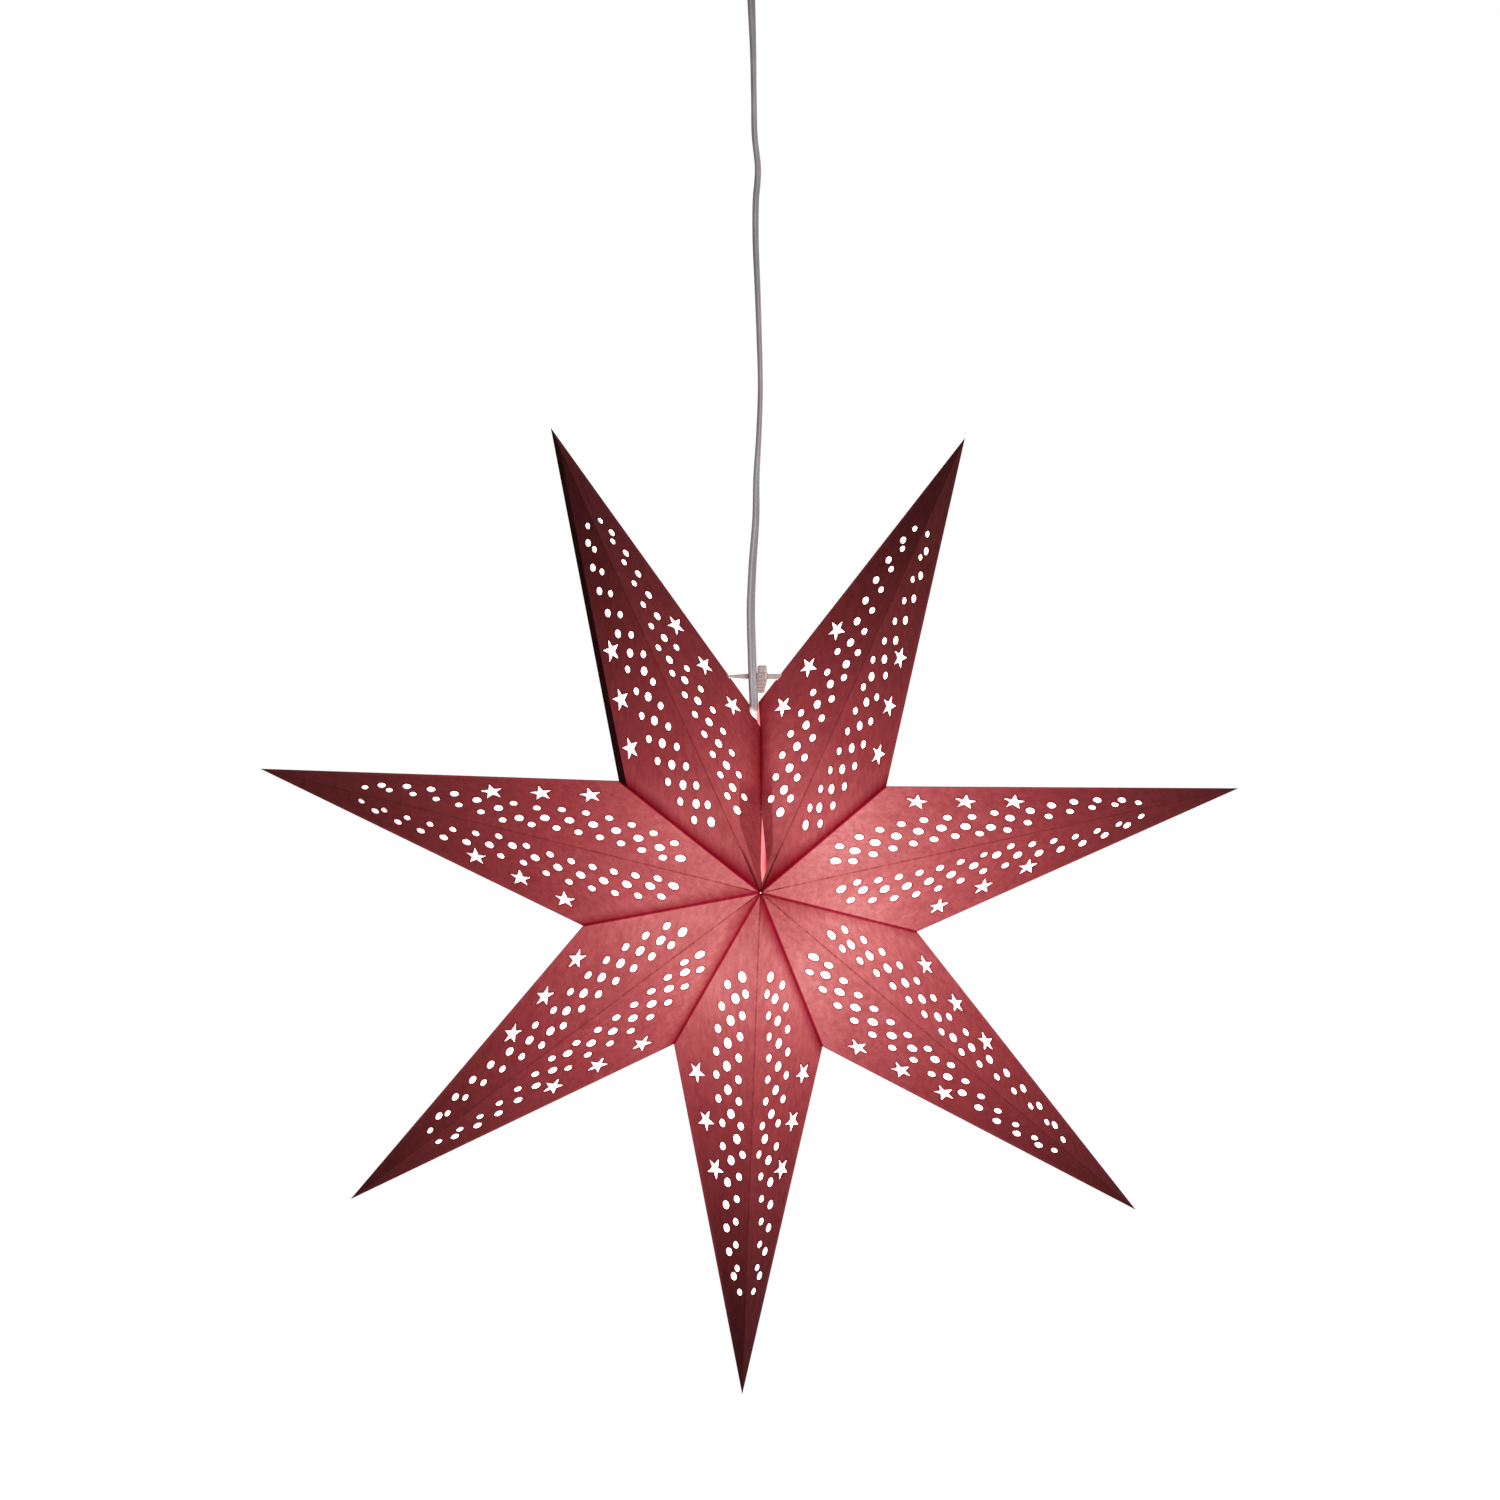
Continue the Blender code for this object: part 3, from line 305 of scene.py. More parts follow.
class CeilingSizes(bpy.types.PropertyGroup):
    """Ceiling cup, plate, hook, cord anchor and terminal block."""

    sides: whole("Corners round a turned piece", 96)
    cup_wall: length("Wall of the ceiling cup", 0.0016)
    cup_radius_shares: numbers("Cup's radii over its rim's", (1.0, 1.0, 0.945, 0.79, 0.5, 0.31))
    cup_height_shares: numbers("Where those lie down the cup", (0.0, 0.12, 0.32, 0.62, 0.93, 1.0))
    grip_ledge: length("Cord grip's flange beyond the cup's hole", 0.0022)
    gap: length("Between pieces that touch", 0.0003)
    hook_tip: length("Height of the hook's tip over its bend", 0.0026)
    eye_radius: length("Radius of the anchor's eye", 0.0042)
    eye_wire: length("Thickness of the anchor's eye", 0.0026)
    slot_length: length("Length of a screw slot in the plate", 0.0096)
    slot_width: length("Width of a screw slot in the plate", 0.0048)
    slot_offset: length("Plate's middle to a screw slot", 0.0185)
    mains_hole: length("Diameter of the hole for the mains cable", 0.010)
    mains_offset: length("Plate's middle to that hole", 0.0165)
    white: colour("Cup, plate, anchor and terminal block", (0.80, 0.80, 0.78))
    steel: colour("Hook", (0.55, 0.55, 0.56))
    brass: colour("Screws", (0.75, 0.58, 0.30))
    core_front: colour("Sheath of the front lead", (0.23, 0.10, 0.05))
    core_back: colour("Sheath of the back lead", (0.08, 0.16, 0.42))


class StageLook(bpy.types.PropertyGroup):
    """Camera and light."""

    distance: length("Camera to the star's centre", 3.0)
    azimuth: angle("Camera's turn to the right of straight ahead", -4.39)
    elevation: angle("Camera's height as an angle", -0.586)
    pixel: length("Size of one pixel at the star's centre", 0.0006)
    centre_x: number("Star's centre in the 1500 pixel frame", 750.976)
    centre_y: number("Star's centre in the 1500 pixel frame", 890.519)
    floor_drop: length("Ceiling to floor", 1.45)
    key_power: number("Soft light from the right, in watts", 44.0)
    key_size: length("Side of that light", 1.3)
    key_place: numbers("Place of that light", (1.12, -2.35, -0.22))
    sky: number("Brightness of the surroundings", 0.24)


image_size = 1500
sensor_width = 36.0


def scaled(tint, factor):
    return tuple(part * factor for part in tint)


class Nodes:
    """Adds nodes to one node tree. Inputs may be numbers, tuples or sockets."""

    def __init__(self, tree):
        self.tree = tree

    def plug(self, socket, value):
        if isinstance(value, bpy.types.NodeSocket):
            self.tree.links.new(value, socket)
        elif socket.type == "RGBA" and len(value) == 3:
            socket.default_value = (*value, 1.0)
        else:
            socket.default_value = value

    def add(self, kind, inputs=(), output=0, **settings):
        """A node with its inputs given as pairs of socket and value. Gives one of its outputs."""
        node = self.tree.nodes.new("ShaderNode" + kind)
        for setting, value in settings.items():
            setattr(node, setting, value)
        for socket, value in inputs:
            self.plug(node.inputs[socket], value)
        return node.outputs[output]

    def math(self, operation, *values):
        return self.add("Math", list(enumerate(values)), operation=operation)

    def seen_directly(self):
        """One for rays from the camera, straight or by way of gloss and clear pieces, and nothing for all others."""
        rays = self.tree.nodes.new("ShaderNodeLightPath").outputs
        seen = self.math("MAXIMUM", rays["Is Camera Ray"], rays["Is Glossy Ray"])
        return self.math("MAXIMUM", seen, rays["Is Transmission Ray"])


class Shading(Nodes):
    """One new material."""

    def __init__(self, name, **constants):
        self.material = bpy.data.materials.new(name)
        self.material.use_nodes = True
        super().__init__(self.material.node_tree)
        self.shader = self.tree.nodes["Principled BSDF"]
        self.coordinates = self.add("TexCoord", output="Object")
        for socket, value in constants.items():
            self.set(socket.replace("_", " ").title().replace("Ior", "IOR"), value)

    def set(self, socket, value):
        """Give one of the shader's sockets a value or a link."""
        self.plug(self.shader.inputs[socket], value)

    def shine(self, tint):
        self.set("Emission Color", tint)
        self.set("Emission Strength", 1.0)

    def attribute(self, name):
        return self.add("Attribute", output="Fac", attribute_name=name)

    def times(self, *values):
        product = values[0]
        for value in values[1:]:
            product = self.math("MULTIPLY", product, value)
        return product

    def less(self, value):
        """What a value leaves of one."""
        return self.math("SUBTRACT", 1.0, value)

    def dot(self, vector, direction, start=0.0):
        """Start plus the vector's part along a direction."""
        pairs = [(0, vector), (1, (*direction, 0.0)[:3])]
        along = self.add("VectorMath", pairs, output="Value", operation="DOT_PRODUCT")
        return self.math("ADD", along, start)

    def ease(self, value, start, end, low=0.0, high=1.0):
        """Smooth change from low to high while the value goes from start to end."""
        pairs = [(0, value), (1, start), (2, end), (3, low), (4, high)]
        return self.add("MapRange", pairs, interpolation_type="SMOOTHSTEP")

    def noise(self, scale, detail=2.0, vector=None, roughness=0.5, stretch=None):
        place = vector or self.coordinates
        if stretch:
            place = self.add("VectorMath", [(0, place), (1, stretch)], operation="MULTIPLY")
        pairs = [("Vector", place), ("Scale", scale), ("Detail", detail), ("Roughness", roughness)]
        return self.add("TexNoise", pairs)

    def ramp(self, value, stops):
        """Colours by position, with straight blends between them."""
        node = self.tree.nodes.new("ShaderNodeValToRGB")
        self.plug(node.inputs[0], value)
        elements = node.color_ramp.elements
        while len(elements) < len(stops):
            elements.new(0.5)
        for element, (place, tint) in zip(elements, stops):
            element.position = place
            element.color = (*tint, 1.0)
        return node.outputs[0]

    def blend(self, share, first, second):
        """Colour between two colours."""
        return self.add("Mix", [(0, share), (6, first), (7, second)], output=2, data_type="RGBA")

    def multiply(self, first, second):
        pairs = [(0, 1.0), (6, first), (7, second)]
        return self.add("Mix", pairs, output=2, data_type="RGBA", blend_type="MULTIPLY")

    def bump(self, height, distance, strength=1.0):
        pairs = [("Height", height), ("Distance", distance), ("Strength", strength)]
        self.set("Normal", self.add("Bump", pairs))


def panel_shape(paper):
    """Flat measures of one panel. U runs along the ridge from the star's centre, v across towards the valley corner.

    The ridge is the hypotenuse over tip radius and half depth. The valley corner's u is its shadow on the ridge.
    """
    ridge = math.hypot(paper.tip_radius, paper.half_depth)
    corner_u = (paper.tip_radius * paper.valley_radius * math.cos(half_point) + paper.half_depth**2) / ridge
    valley = math.hypot(paper.valley_radius, paper.half_depth)
    corner_v = math.sqrt(valley**2 - corner_u**2)
    return SimpleNamespace(
        ridge=ridge,
        corner=np.array((corner_u, corner_v)),
        valley=valley,
        edge=math.hypot(ridge - corner_u, corner_v),
    )


def point_angle(paper, n):
    return math.pi / 2 - half_point * (2 * n + 1) - paper.roll


def outward(turn, radius):
    return np.array((math.cos(turn) * radius, 0.0, math.sin(turn) * radius - star_drop))


def beside_seam(n, side):
    return (n, side) in ((0, 1), (point_count - 1, -1))


def is_rolled(n, face, side):
    return (n, face, side) == (point_count - 1, -1, 1)


def panel_corners(paper, n, face, side):
    """Middle, tip and valley corners of a panel. Face is -1 in front, side is +1 on the left."""
    turn = point_angle(paper, n)
    middle = np.array((0.0, face * paper.half_depth, -star_drop - paper.sag * (face < 0)))
    tip = outward(turn + math.radians(paper.lean_degrees[n]), paper.tip_radius)
    valley = outward(turn + side * half_point, paper.valley_radius)
    if beside_seam(n, side):
        valley += (paper.seam_shift, 0.0, paper.seam_rises[min(n, 1)])
    return middle, tip, valley


def panel_normal(paper, n, face, side):
    middle, tip, valley = panel_corners(paper, n, face, side)
    normal = np.cross(tip - middle, valley - middle) * -face * side
    return normal / np.linalg.norm(normal)


def panel_shares(shape, flat):
    """T and b of flat places (u, v), as shares of the way to the tip and to the valley corner."""
    b = flat[:, 1] / shape.corner[1]
    return (flat[:, 0] - b * shape.corner[0]) / shape.ridge, b


def on_panel(paper, shape, n, face, side, flat, depth=0.0, swell=0.0):
    """Places on a panel: middle + t (tip - middle) + b (valley - middle), with t and b from u and v.

    The panel bows by 27 t b (1 - t - b) times the swell, which is nothing at its three sides.
    """
    middle, tip, valley = panel_corners(paper, n, face, side)
    t, b = panel_shares(shape, flat)
    bow = 27 * np.clip(t, 0, 1) * np.clip(b, 0, 1) * np.clip(1 - t - b, 0, 1)
    wave_u, wave_v = flat[:, 0] / 0.021 + 1.7 * n + side, flat[:, 1] / 0.017 + n
    wave = 1 + 0.5 * np.sin(wave_u) * np.cos(wave_v)
    lift = swell * bow * wave - depth
    places = middle + t[:, None] * (tip - middle) + b[:, None] * (valley - middle)
    return places + lift[:, None] * panel_normal(paper, n, face, side)


def edge_frame(shape):
    """Unit directions along the outer edge towards the tip, and square to it into the panel."""
    outwards = (np.array((shape.ridge, 0.0)) - shape.corner) / shape.edge
    return outwards, np.array((outwards[1], -outwards[0]))


def seam_place(shape, along, inset=0.0):
    """Flat place from a distance down the valley from its outer corner, and a distance in from the valley."""
    down = -shape.corner / shape.valley
    inwards = np.array((-down[1], down[0]))
    return shape.corner + np.multiply.outer(along, down) + np.multiply.outer(inset, inwards)


def arch(pattern, shares, feet, rises, foot_fall=0.0):
    """Height share of a dot row: foot + rise (1 - way squared), with way from -1 to 1 over each of two arches."""
    second = (shares >= pattern.arch_change_share).astype(int)
    middles, halves = np.array(pattern.arch_middle_shares), np.array(pattern.arch_half_shares)
    way = (shares - middles[second]) / halves[second]
    fall = foot_fall * np.maximum(0.0, shares - pattern.arch_change_share)
    return np.array(feet)[second] - fall + np.array(rises)[second] * (1 - way**2)


def dot_places(pattern, shape):
    """Middles and diameters of the three dot rows.

    The middle row follows two arches. The side rows are half a step on, the outer one parallel to it, the inner one on
    flatter arches and shifted square to the middle row's slope.
    """
    feet = (pattern.arch_foot_share,) * 2
    rises = (pattern.arch_rise_share,) * 2
    sizes = np.array((shape.ridge, shape.corner[1]))

    def middle_row(shares):
        heights = arch(pattern, shares, feet, rises, pattern.foot_fall_share)
        return np.column_stack((shares, heights)) * sizes

    step = pattern.pitch_share
    shares = pattern.first_share + step * np.arange(pattern.row_dots)
    row = middle_row(shares)
    half_shares = shares + step / 2
    half_row = middle_row(half_shares)
    outer = half_row[: pattern.outer_dots] + (0.0, pattern.row_spread)
    slope = np.gradient(half_row[:, 1], half_row[:, 0])
    shift = np.where(half_shares < pattern.arch_change_share, slope * pattern.row_spread, pattern.inner_shift)
    inner_shares = half_shares + shift / shape.ridge
    heights = arch(pattern, inner_shares, pattern.inner_foot_shares, pattern.inner_rise_shares)
    inner = np.column_stack((inner_shares, heights)) * sizes
    diameters = [pattern.large_dot] * len(row) + [pattern.small_dot] * (len(outer) + len(inner))
    return np.vstack((row, outer, inner)), np.array(diameters)


def cutout_places(pattern, shape):
    """Middles of the star cut-outs along the outer edge."""
    outwards, inwards = edge_frame(shape)
    ways = shape.edge * (pattern.first_cutout_share + pattern.cutout_pitch_share * np.arange(pattern.cutout_count))
    return shape.corner + np.multiply.outer(ways, outwards) + inwards * pattern.cutout_inset


def circle(sides, start=0.0):
    """Even places (cos, sin) round the unit circle."""
    turns = start + 2 * np.pi * np.arange(sides) / sides
    return np.column_stack((np.cos(turns), np.sin(turns)))


def rings(middles, radii, start=0.0):
    """Closed outlines round each middle: radius times (cos, sin), with one radius for each corner."""
    return middles[:, None, :] + radii[:, :, None] * circle(radii.shape[1], start)


def settled(paper, shape, n, side, middles):
    """Hole middles that keep their places in the front view although the seam's corner is pulled up."""
    middle, tip, pulled = (corner[[0, 2]] for corner in panel_corners(paper, n, -1, side))
    regular = outward(point_angle(paper, n) + side * half_point, paper.valley_radius)[[0, 2]]
    change = np.linalg.solve(np.column_stack((tip - middle, pulled - middle)), pulled - regular)
    t, b = panel_shares(shape, middles)
    t, b = t - b * change[0], b - b * change[1]
    return np.column_stack((t * shape.ridge + b * shape.corner[0], b * shape.corner[1]))


def punched_holes(paper, pattern, shape, n, side):
    """Outlines of all holes in a panel and of their rims, with the middle and reach of each hole."""
    middles, diameters = dot_places(pattern, shape)
    diameters = diameters * (1 - pattern.dot_narrowing * (middles[:, 0] / shape.ridge) ** 1.3) * pattern.dot_scales[n]
    places = np.vstack((middles, cutout_places(pattern, shape)))
    places[:, 0] -= pattern.slides[n] * (1 - 0.6 * places[:, 0] / shape.ridge)
    places[:, 1] += side * pattern.skews[n] * places[:, 0] - pattern.lowering
    middles, stars = np.split(places, (len(middles),))
    outwards, inwards = edge_frame(shape)
    if beside_seam(n, side):
        middles = settled(paper, shape, n, side, middles)
        stars = stars - outwards * pattern.seam_cutout_slides[min(n, 1)]
        stars += np.multiply.outer(pattern.seam_cutout_insets, inwards) * (n == 0)
    dots = np.repeat(diameters[:, None] / 2, pattern.dot_sides, axis=1)
    corners = np.array((1.0, pattern.cutout_waist) * star_points) * pattern.cutout_radius
    corners = np.tile(corners, (len(stars), 1))
    rim, turn = pattern.rim, pattern.cutout_turn
    holes = [*rings(middles, dots), *rings(stars, corners, turn)]
    rims = [*rings(middles, dots + rim), *rings(stars, corners + 1.4 * rim, turn)]
    reaches = np.concatenate((diameters / 2, np.full(len(stars), pattern.cutout_radius))) + rim
    return holes, rims, np.vstack((middles, stars)), reaches


def flap_stops(paper, shape):
    """Distances down the valley of a flap's rows, shared by the panel's edge and the flap."""
    return np.linspace(paper.flap_top_gap, shape.valley - paper.flap_foot_gap, flap_rows)


def seam_stops(paper, shape, n):
    """Distances down the open seam of its hem's rows: from the cord's notch, or on the right from the corner."""
    return np.linspace(paper.notch_depth if n else 0.001, shape.valley - 0.003, seam_rows)


def from_valley(shape, flat):
    return flat @ (shape.corner[1], -shape.corner[0]) / shape.valley


def seam_opening(paper, along):
    """Share of the slit's full width: straight flanks between its four places down the seam."""
    return np.interp(along, paper.seam_slit, (0, 1, 1, 0))


def seam_inset(paper, shape, along, n):
    """Inset of the open seam's edge, which leans to the right. The right one draws back at the slit."""
    from_centre = shape.valley - along
    full_lean = paper.notch_depth if n else paper.notch_foot
    lean_end, overlap_end = 0.012, 0.005
    lean = paper.seam_lean * np.clip(along / full_lean, 0, 1) * np.clip(from_centre / lean_end, 0, 1)
    opening = seam_opening(paper, along)
    if n == 0:
        return lean + paper.seam_gap * opening
    return -lean - paper.seam_overlap * (1 - opening) * (from_centre > overlap_end)


def hem_shows(paper, along):
    """Share of the right hem that shows, at the notch and at the slit."""
    fade = 0.005
    at_notch = np.interp(along, (paper.notch_foot - fade, paper.notch_foot), (0.5, 0))
    return np.maximum(at_notch, seam_opening(paper, along))


def seam_distance(paper, shape, n, flat):
    """Distance of a top point's places from the open seam. On the right the slit's lit side counts as further away."""
    along = shape.valley - flat @ shape.corner / shape.valley
    lit_edge = 0.002
    shown = (paper.hem_flare + lit_edge) * hem_shows(paper, along) * (n == 0)
    return from_valley(shape, flat) - seam_inset(paper, shape, along, n) + shown


def panel_outline(paper, shape, n, kind, nick):
    """Corners of a panel's outline, anticlockwise from the star's centre along the ridge."""
    stops = np.linspace(paper.centre_gap, shape.ridge, ridge_rows)
    ridge = np.column_stack((stops, 0 * stops))
    foot = shape.valley - 2 * paper.centre_gap
    if kind in ("over", "rolled"):
        valley = seam_place(shape, np.linspace(0.0, foot, valley_rows))
        if kind == "over":
            return np.vstack((ridge, valley))
        return np.vstack((ridge[:-1], rolled_line(paper, shape)[1:], valley[1:]))
    if kind == "under":
        return np.vstack((ridge, seam_place(shape, np.array((0.0, *flap_stops(paper, shape), foot)))))
    outwards, inwards = edge_frame(shape)
    corners = [shape.corner + outwards * way + inwards * depth for way, depth in nick]
    corners.append(shape.corner + outwards * (paper.notch_way if kind == "notched" else 0.0))
    along = np.append(seam_stops(paper, shape, n), foot)
    return np.vstack((ridge, *corners, seam_place(shape, along, seam_inset(paper, shape, along, n))))


def rolled_line(paper, shape):
    """Where the top left point's left panel turns away, from the ridge to the valley."""
    start = np.array((np.linspace(paper.centre_gap, shape.ridge, ridge_rows)[-2], 0.0))
    valley_share = 1.31
    end = seam_place(shape, paper.rolled_width * valley_share)
    return start + np.linspace(0, 1, rolled_rows)[:, None] * (end - start)


def inside_grid(paper, shape, middles, reaches, inset):
    """Points of a triangular grid on the panel that keep clear of its sides and holes."""
    step = paper.grid
    rows = np.arange(1, int(shape.corner[1] / step / 0.866) + 1)
    columns = np.arange(0, int(shape.ridge / step) + 1)
    u, v = np.meshgrid(columns * step, rows * step * 0.866)
    u = u + (rows[:, None] % 2) * step / 2
    points = np.column_stack((u.ravel(), v.ravel()))
    edge_across = np.array((shape.corner[1], shape.ridge - shape.corner[0])) / shape.edge
    edge_in = shape.ridge * edge_across[0] - points @ edge_across
    away = np.linalg.norm(points[:, None, :] - middles[None], axis=2) - reaches
    clear = (from_valley(shape, points) > inset) & (edge_in > inset) & (away.min(axis=1) > step / 5)
    return points[clear]


def cut_panel(paper, pattern, shape, n, side, kind, nick=()):
    """Triangles between a panel's outline, its holes and its grid points, and which points are a hole's edge."""
    outline = panel_outline(paper, shape, n, kind, nick)
    holes, rims, middles, reaches = punched_holes(paper, pattern, shape, n, side)
    inset = paper.grid / 3 + (paper.rolled_width if kind == "rolled" else 0.0)
    grid = inside_grid(paper, shape, middles, reaches, inset)
    return triangulated(outline, holes, rims, grid)


def triangulated(outline, holes, rims, grid):
    """Triangles between an outline, its holes and further points, worked out in millimetres."""
    loops = [outline, *holes, *rims]
    starts = np.cumsum([0] + [len(loop) for loop in loops])
    faces = [list(range(start, end)) for start, end in zip(starts, starts[1:])]
    scale = 1000.0
    points = [Vector(point) for point in np.vstack((*loops, grid)) * scale]
    made, _, triangles, origins, _, sources = delaunay_2d_cdt(points, [], faces, 1, 1e-4)
    kept = [
        triangle
        for triangle, source in zip(triangles, sources)
        if 0 in source and not any(1 <= face <= len(holes) for face in source)
    ]
    low, high = starts[1], starts[1 + len(holes)]
    rim = [float(any(low <= origin < high for origin in origin_list)) for origin_list in origins]
    return np.array(made) / scale, np.array(kept), np.array(rim)


def grid_triangles(rows, columns):
    """Two triangles in each cell of a grid of rows times columns points."""
    first = (np.arange(rows - 1)[:, None] * columns + np.arange(columns - 1)).ravel()
    lower = np.column_stack((first, first + 1, first + columns))
    upper = np.column_stack((first + 1, first + columns + 1, first + columns))
    return np.vstack((lower, upper))


def sheet_part(places, flat, triangles, normal, rim=0.0, finish=0):
    """One part of a folded sheet, with its triangles turned so that they face along the normal."""
    first = places[triangles[:, 1]] - places[triangles[:, 0]]
    second = places[triangles[:, 2]] - places[triangles[:, 0]]
    facing = np.cross(first, second).sum(axis=0) @ normal
    turned = triangles if facing > 0 else triangles[:, ::-1]
    return SimpleNamespace(places=places, flat=flat, triangles=turned, normal=normal, rim=rim, finish=finish)


def slanted(stops, across, slant=1.0):
    """Distances down the valley of a flap's rows, which grow shorter at both ends with the way across the flap."""
    shares = (stops - stops[0]) / (stops[-1] - stops[0])
    start, end = stops[0] + across * slant, stops[-1] - across
    return start[:, None] + (end - start)[:, None] * shares


def glue_flap(paper, shape, n, face, side):
    """A flap that lies under the next point's panel: rows across it, columns down the valley, slanted at its ends."""
    next_point = (n - side) % point_count
    fold_width = 0.0011
    across = np.array((0.0, fold_width, paper.flap_width / 2, paper.flap_width))
    depth = np.array((0.0, 1.0, 1.0, 1.0)) * (paper.thickness + paper.gap)
    stops = flap_stops(paper, shape)
    flat = seam_place(shape, slanted(stops, across).ravel(), np.repeat(across, len(stops)))
    places = on_panel(paper, shape, next_point, face, -side, flat, np.repeat(depth, len(stops)))
    normal = panel_normal(paper, next_point, face, -side)
    return sheet_part(places, flat, grid_triangles(len(across), len(stops)), normal)


def end_flap(paper, shape, n, face, side):
    """The turned-in flap of the open seam: a hem in two strips, then the flap under its lower part."""
    stops = seam_stops(paper, shape, n)
    count = len(stops)
    edge = seam_inset(paper, shape, stops, n)
    flare = paper.hem_flare * hem_shows(paper, stops) * (n == 0)
    depth = 2 * paper.thickness + paper.gap
    hem_flat = seam_place(shape, np.tile(stops, 3), np.concatenate((edge, edge - flare, edge - 0.75 * flare)))
    hem = on_panel(paper, shape, n, face, side, hem_flat, np.repeat((0.0, 0.6, 1.0), count) * depth)
    low = (stops >= paper.end_flap_start) & (stops <= shape.valley - paper.flap_foot_gap)
    stops, edge, flare = stops[low], edge[low], 0.75 * flare[low]
    inwards = seam_place(shape, 0.0, 1.0) - shape.corner
    width = paper.end_flap_widths[min(n, 1)]
    across = np.array((0.0, width / 2, width))
    flap_flat = seam_place(shape, slanted(stops, across, 0.5).ravel())
    reach = across[:, None] + edge - flare * (across == 0.0)[:, None]
    flap_flat += np.multiply.outer(reach.ravel(), inwards)
    flap = on_panel(paper, shape, n, face, side, flap_flat, np.full(len(flap_flat), depth))
    sideways = unit(hem[0] - on_panel(paper, shape, n, face, side, hem_flat[:1] + inwards)[0])
    outwards = panel_normal(paper, n, face, side)
    strip = grid_triangles(2, count)
    finish = 0 if n else 4
    return [
        sheet_part(hem[: 2 * count], hem_flat[: 2 * count], strip, unit(sideways + outwards), finish=finish),
        sheet_part(hem[count:], hem_flat[count:], strip, unit(sideways - outwards), finish=finish),
        sheet_part(flap, flap_flat, grid_triangles(3, len(stops)), -outwards),
    ]


def rolled_strip(paper, shape, n):
    """The back's left panel where it shows in front: a fan of triangles from the turned line to tip and valley."""
    line = rolled_line(paper, shape)
    inner = on_panel(paper, shape, n, -1, 1, line, swell=paper.swell)
    outer = np.array(panel_corners(paper, n, 1, 1)[1:])
    count = len(line)
    here = np.arange(count - 1)
    ends = np.where(here < count // 2, count, count + 1)
    fan = np.vstack((np.column_stack((here, here + 1, ends)), (count // 2, count + 1, count)))
    normal = panel_normal(paper, n, -1, 1)
    return sheet_part(np.vstack((inner, outer)), np.vstack((line, line[:2])), fan, normal, finish=3)


def glow_on(look, shape, n, flat):
    """Light through the paper: strength (1 - u / ridge) ^ fall + tail, with a central dip and a lift at the valleys."""
    u, v = flat[:, 0], flat[:, 1]
    reach = np.clip(1 - u / shape.ridge, 0.0, 1.0)
    dip = 1 - look.core_dimmings[n] * np.exp(-((u / look.core_reach) ** 2))
    slope = shape.corner[1] / shape.corner[0]
    height = np.minimum(u * slope, (shape.ridge - u) * shape.corner[1] / (shape.ridge - shape.corner[0]))
    near = np.exp(-(((u - look.valley_lift_place) / look.valley_lift_reach) ** 2))
    lift = 1 + look.valley_lift * near * np.clip(v / np.maximum(height, 1e-4), 0, 1)
    return (look.strengths[n] * reach ** look.falls[n] + look.tails[n]) * dip * lift


def new_mesh(name, places, faces):
    """A mesh from an array of places and a list of face arrays, one array for each number of corners."""
    mesh = bpy.data.meshes.new(name)
    corners = np.concatenate([part.ravel() for part in faces])
    sizes = np.concatenate([np.full(len(part), part.shape[1]) for part in faces])
    mesh.vertices.add(len(places))
    mesh.vertices.foreach_set("co", np.asarray(places, np.float32).ravel())
    mesh.loops.add(len(corners))
    mesh.loops.foreach_set("vertex_index", corners.astype(np.int32))
    mesh.polygons.add(len(sizes))
    starts = np.concatenate(((0,), np.cumsum(sizes)[:-1]))
    mesh.polygons.foreach_set("loop_start", starts.astype(np.int32))
    mesh.update(calc_edges=True)
    mesh.validate()
    return mesh


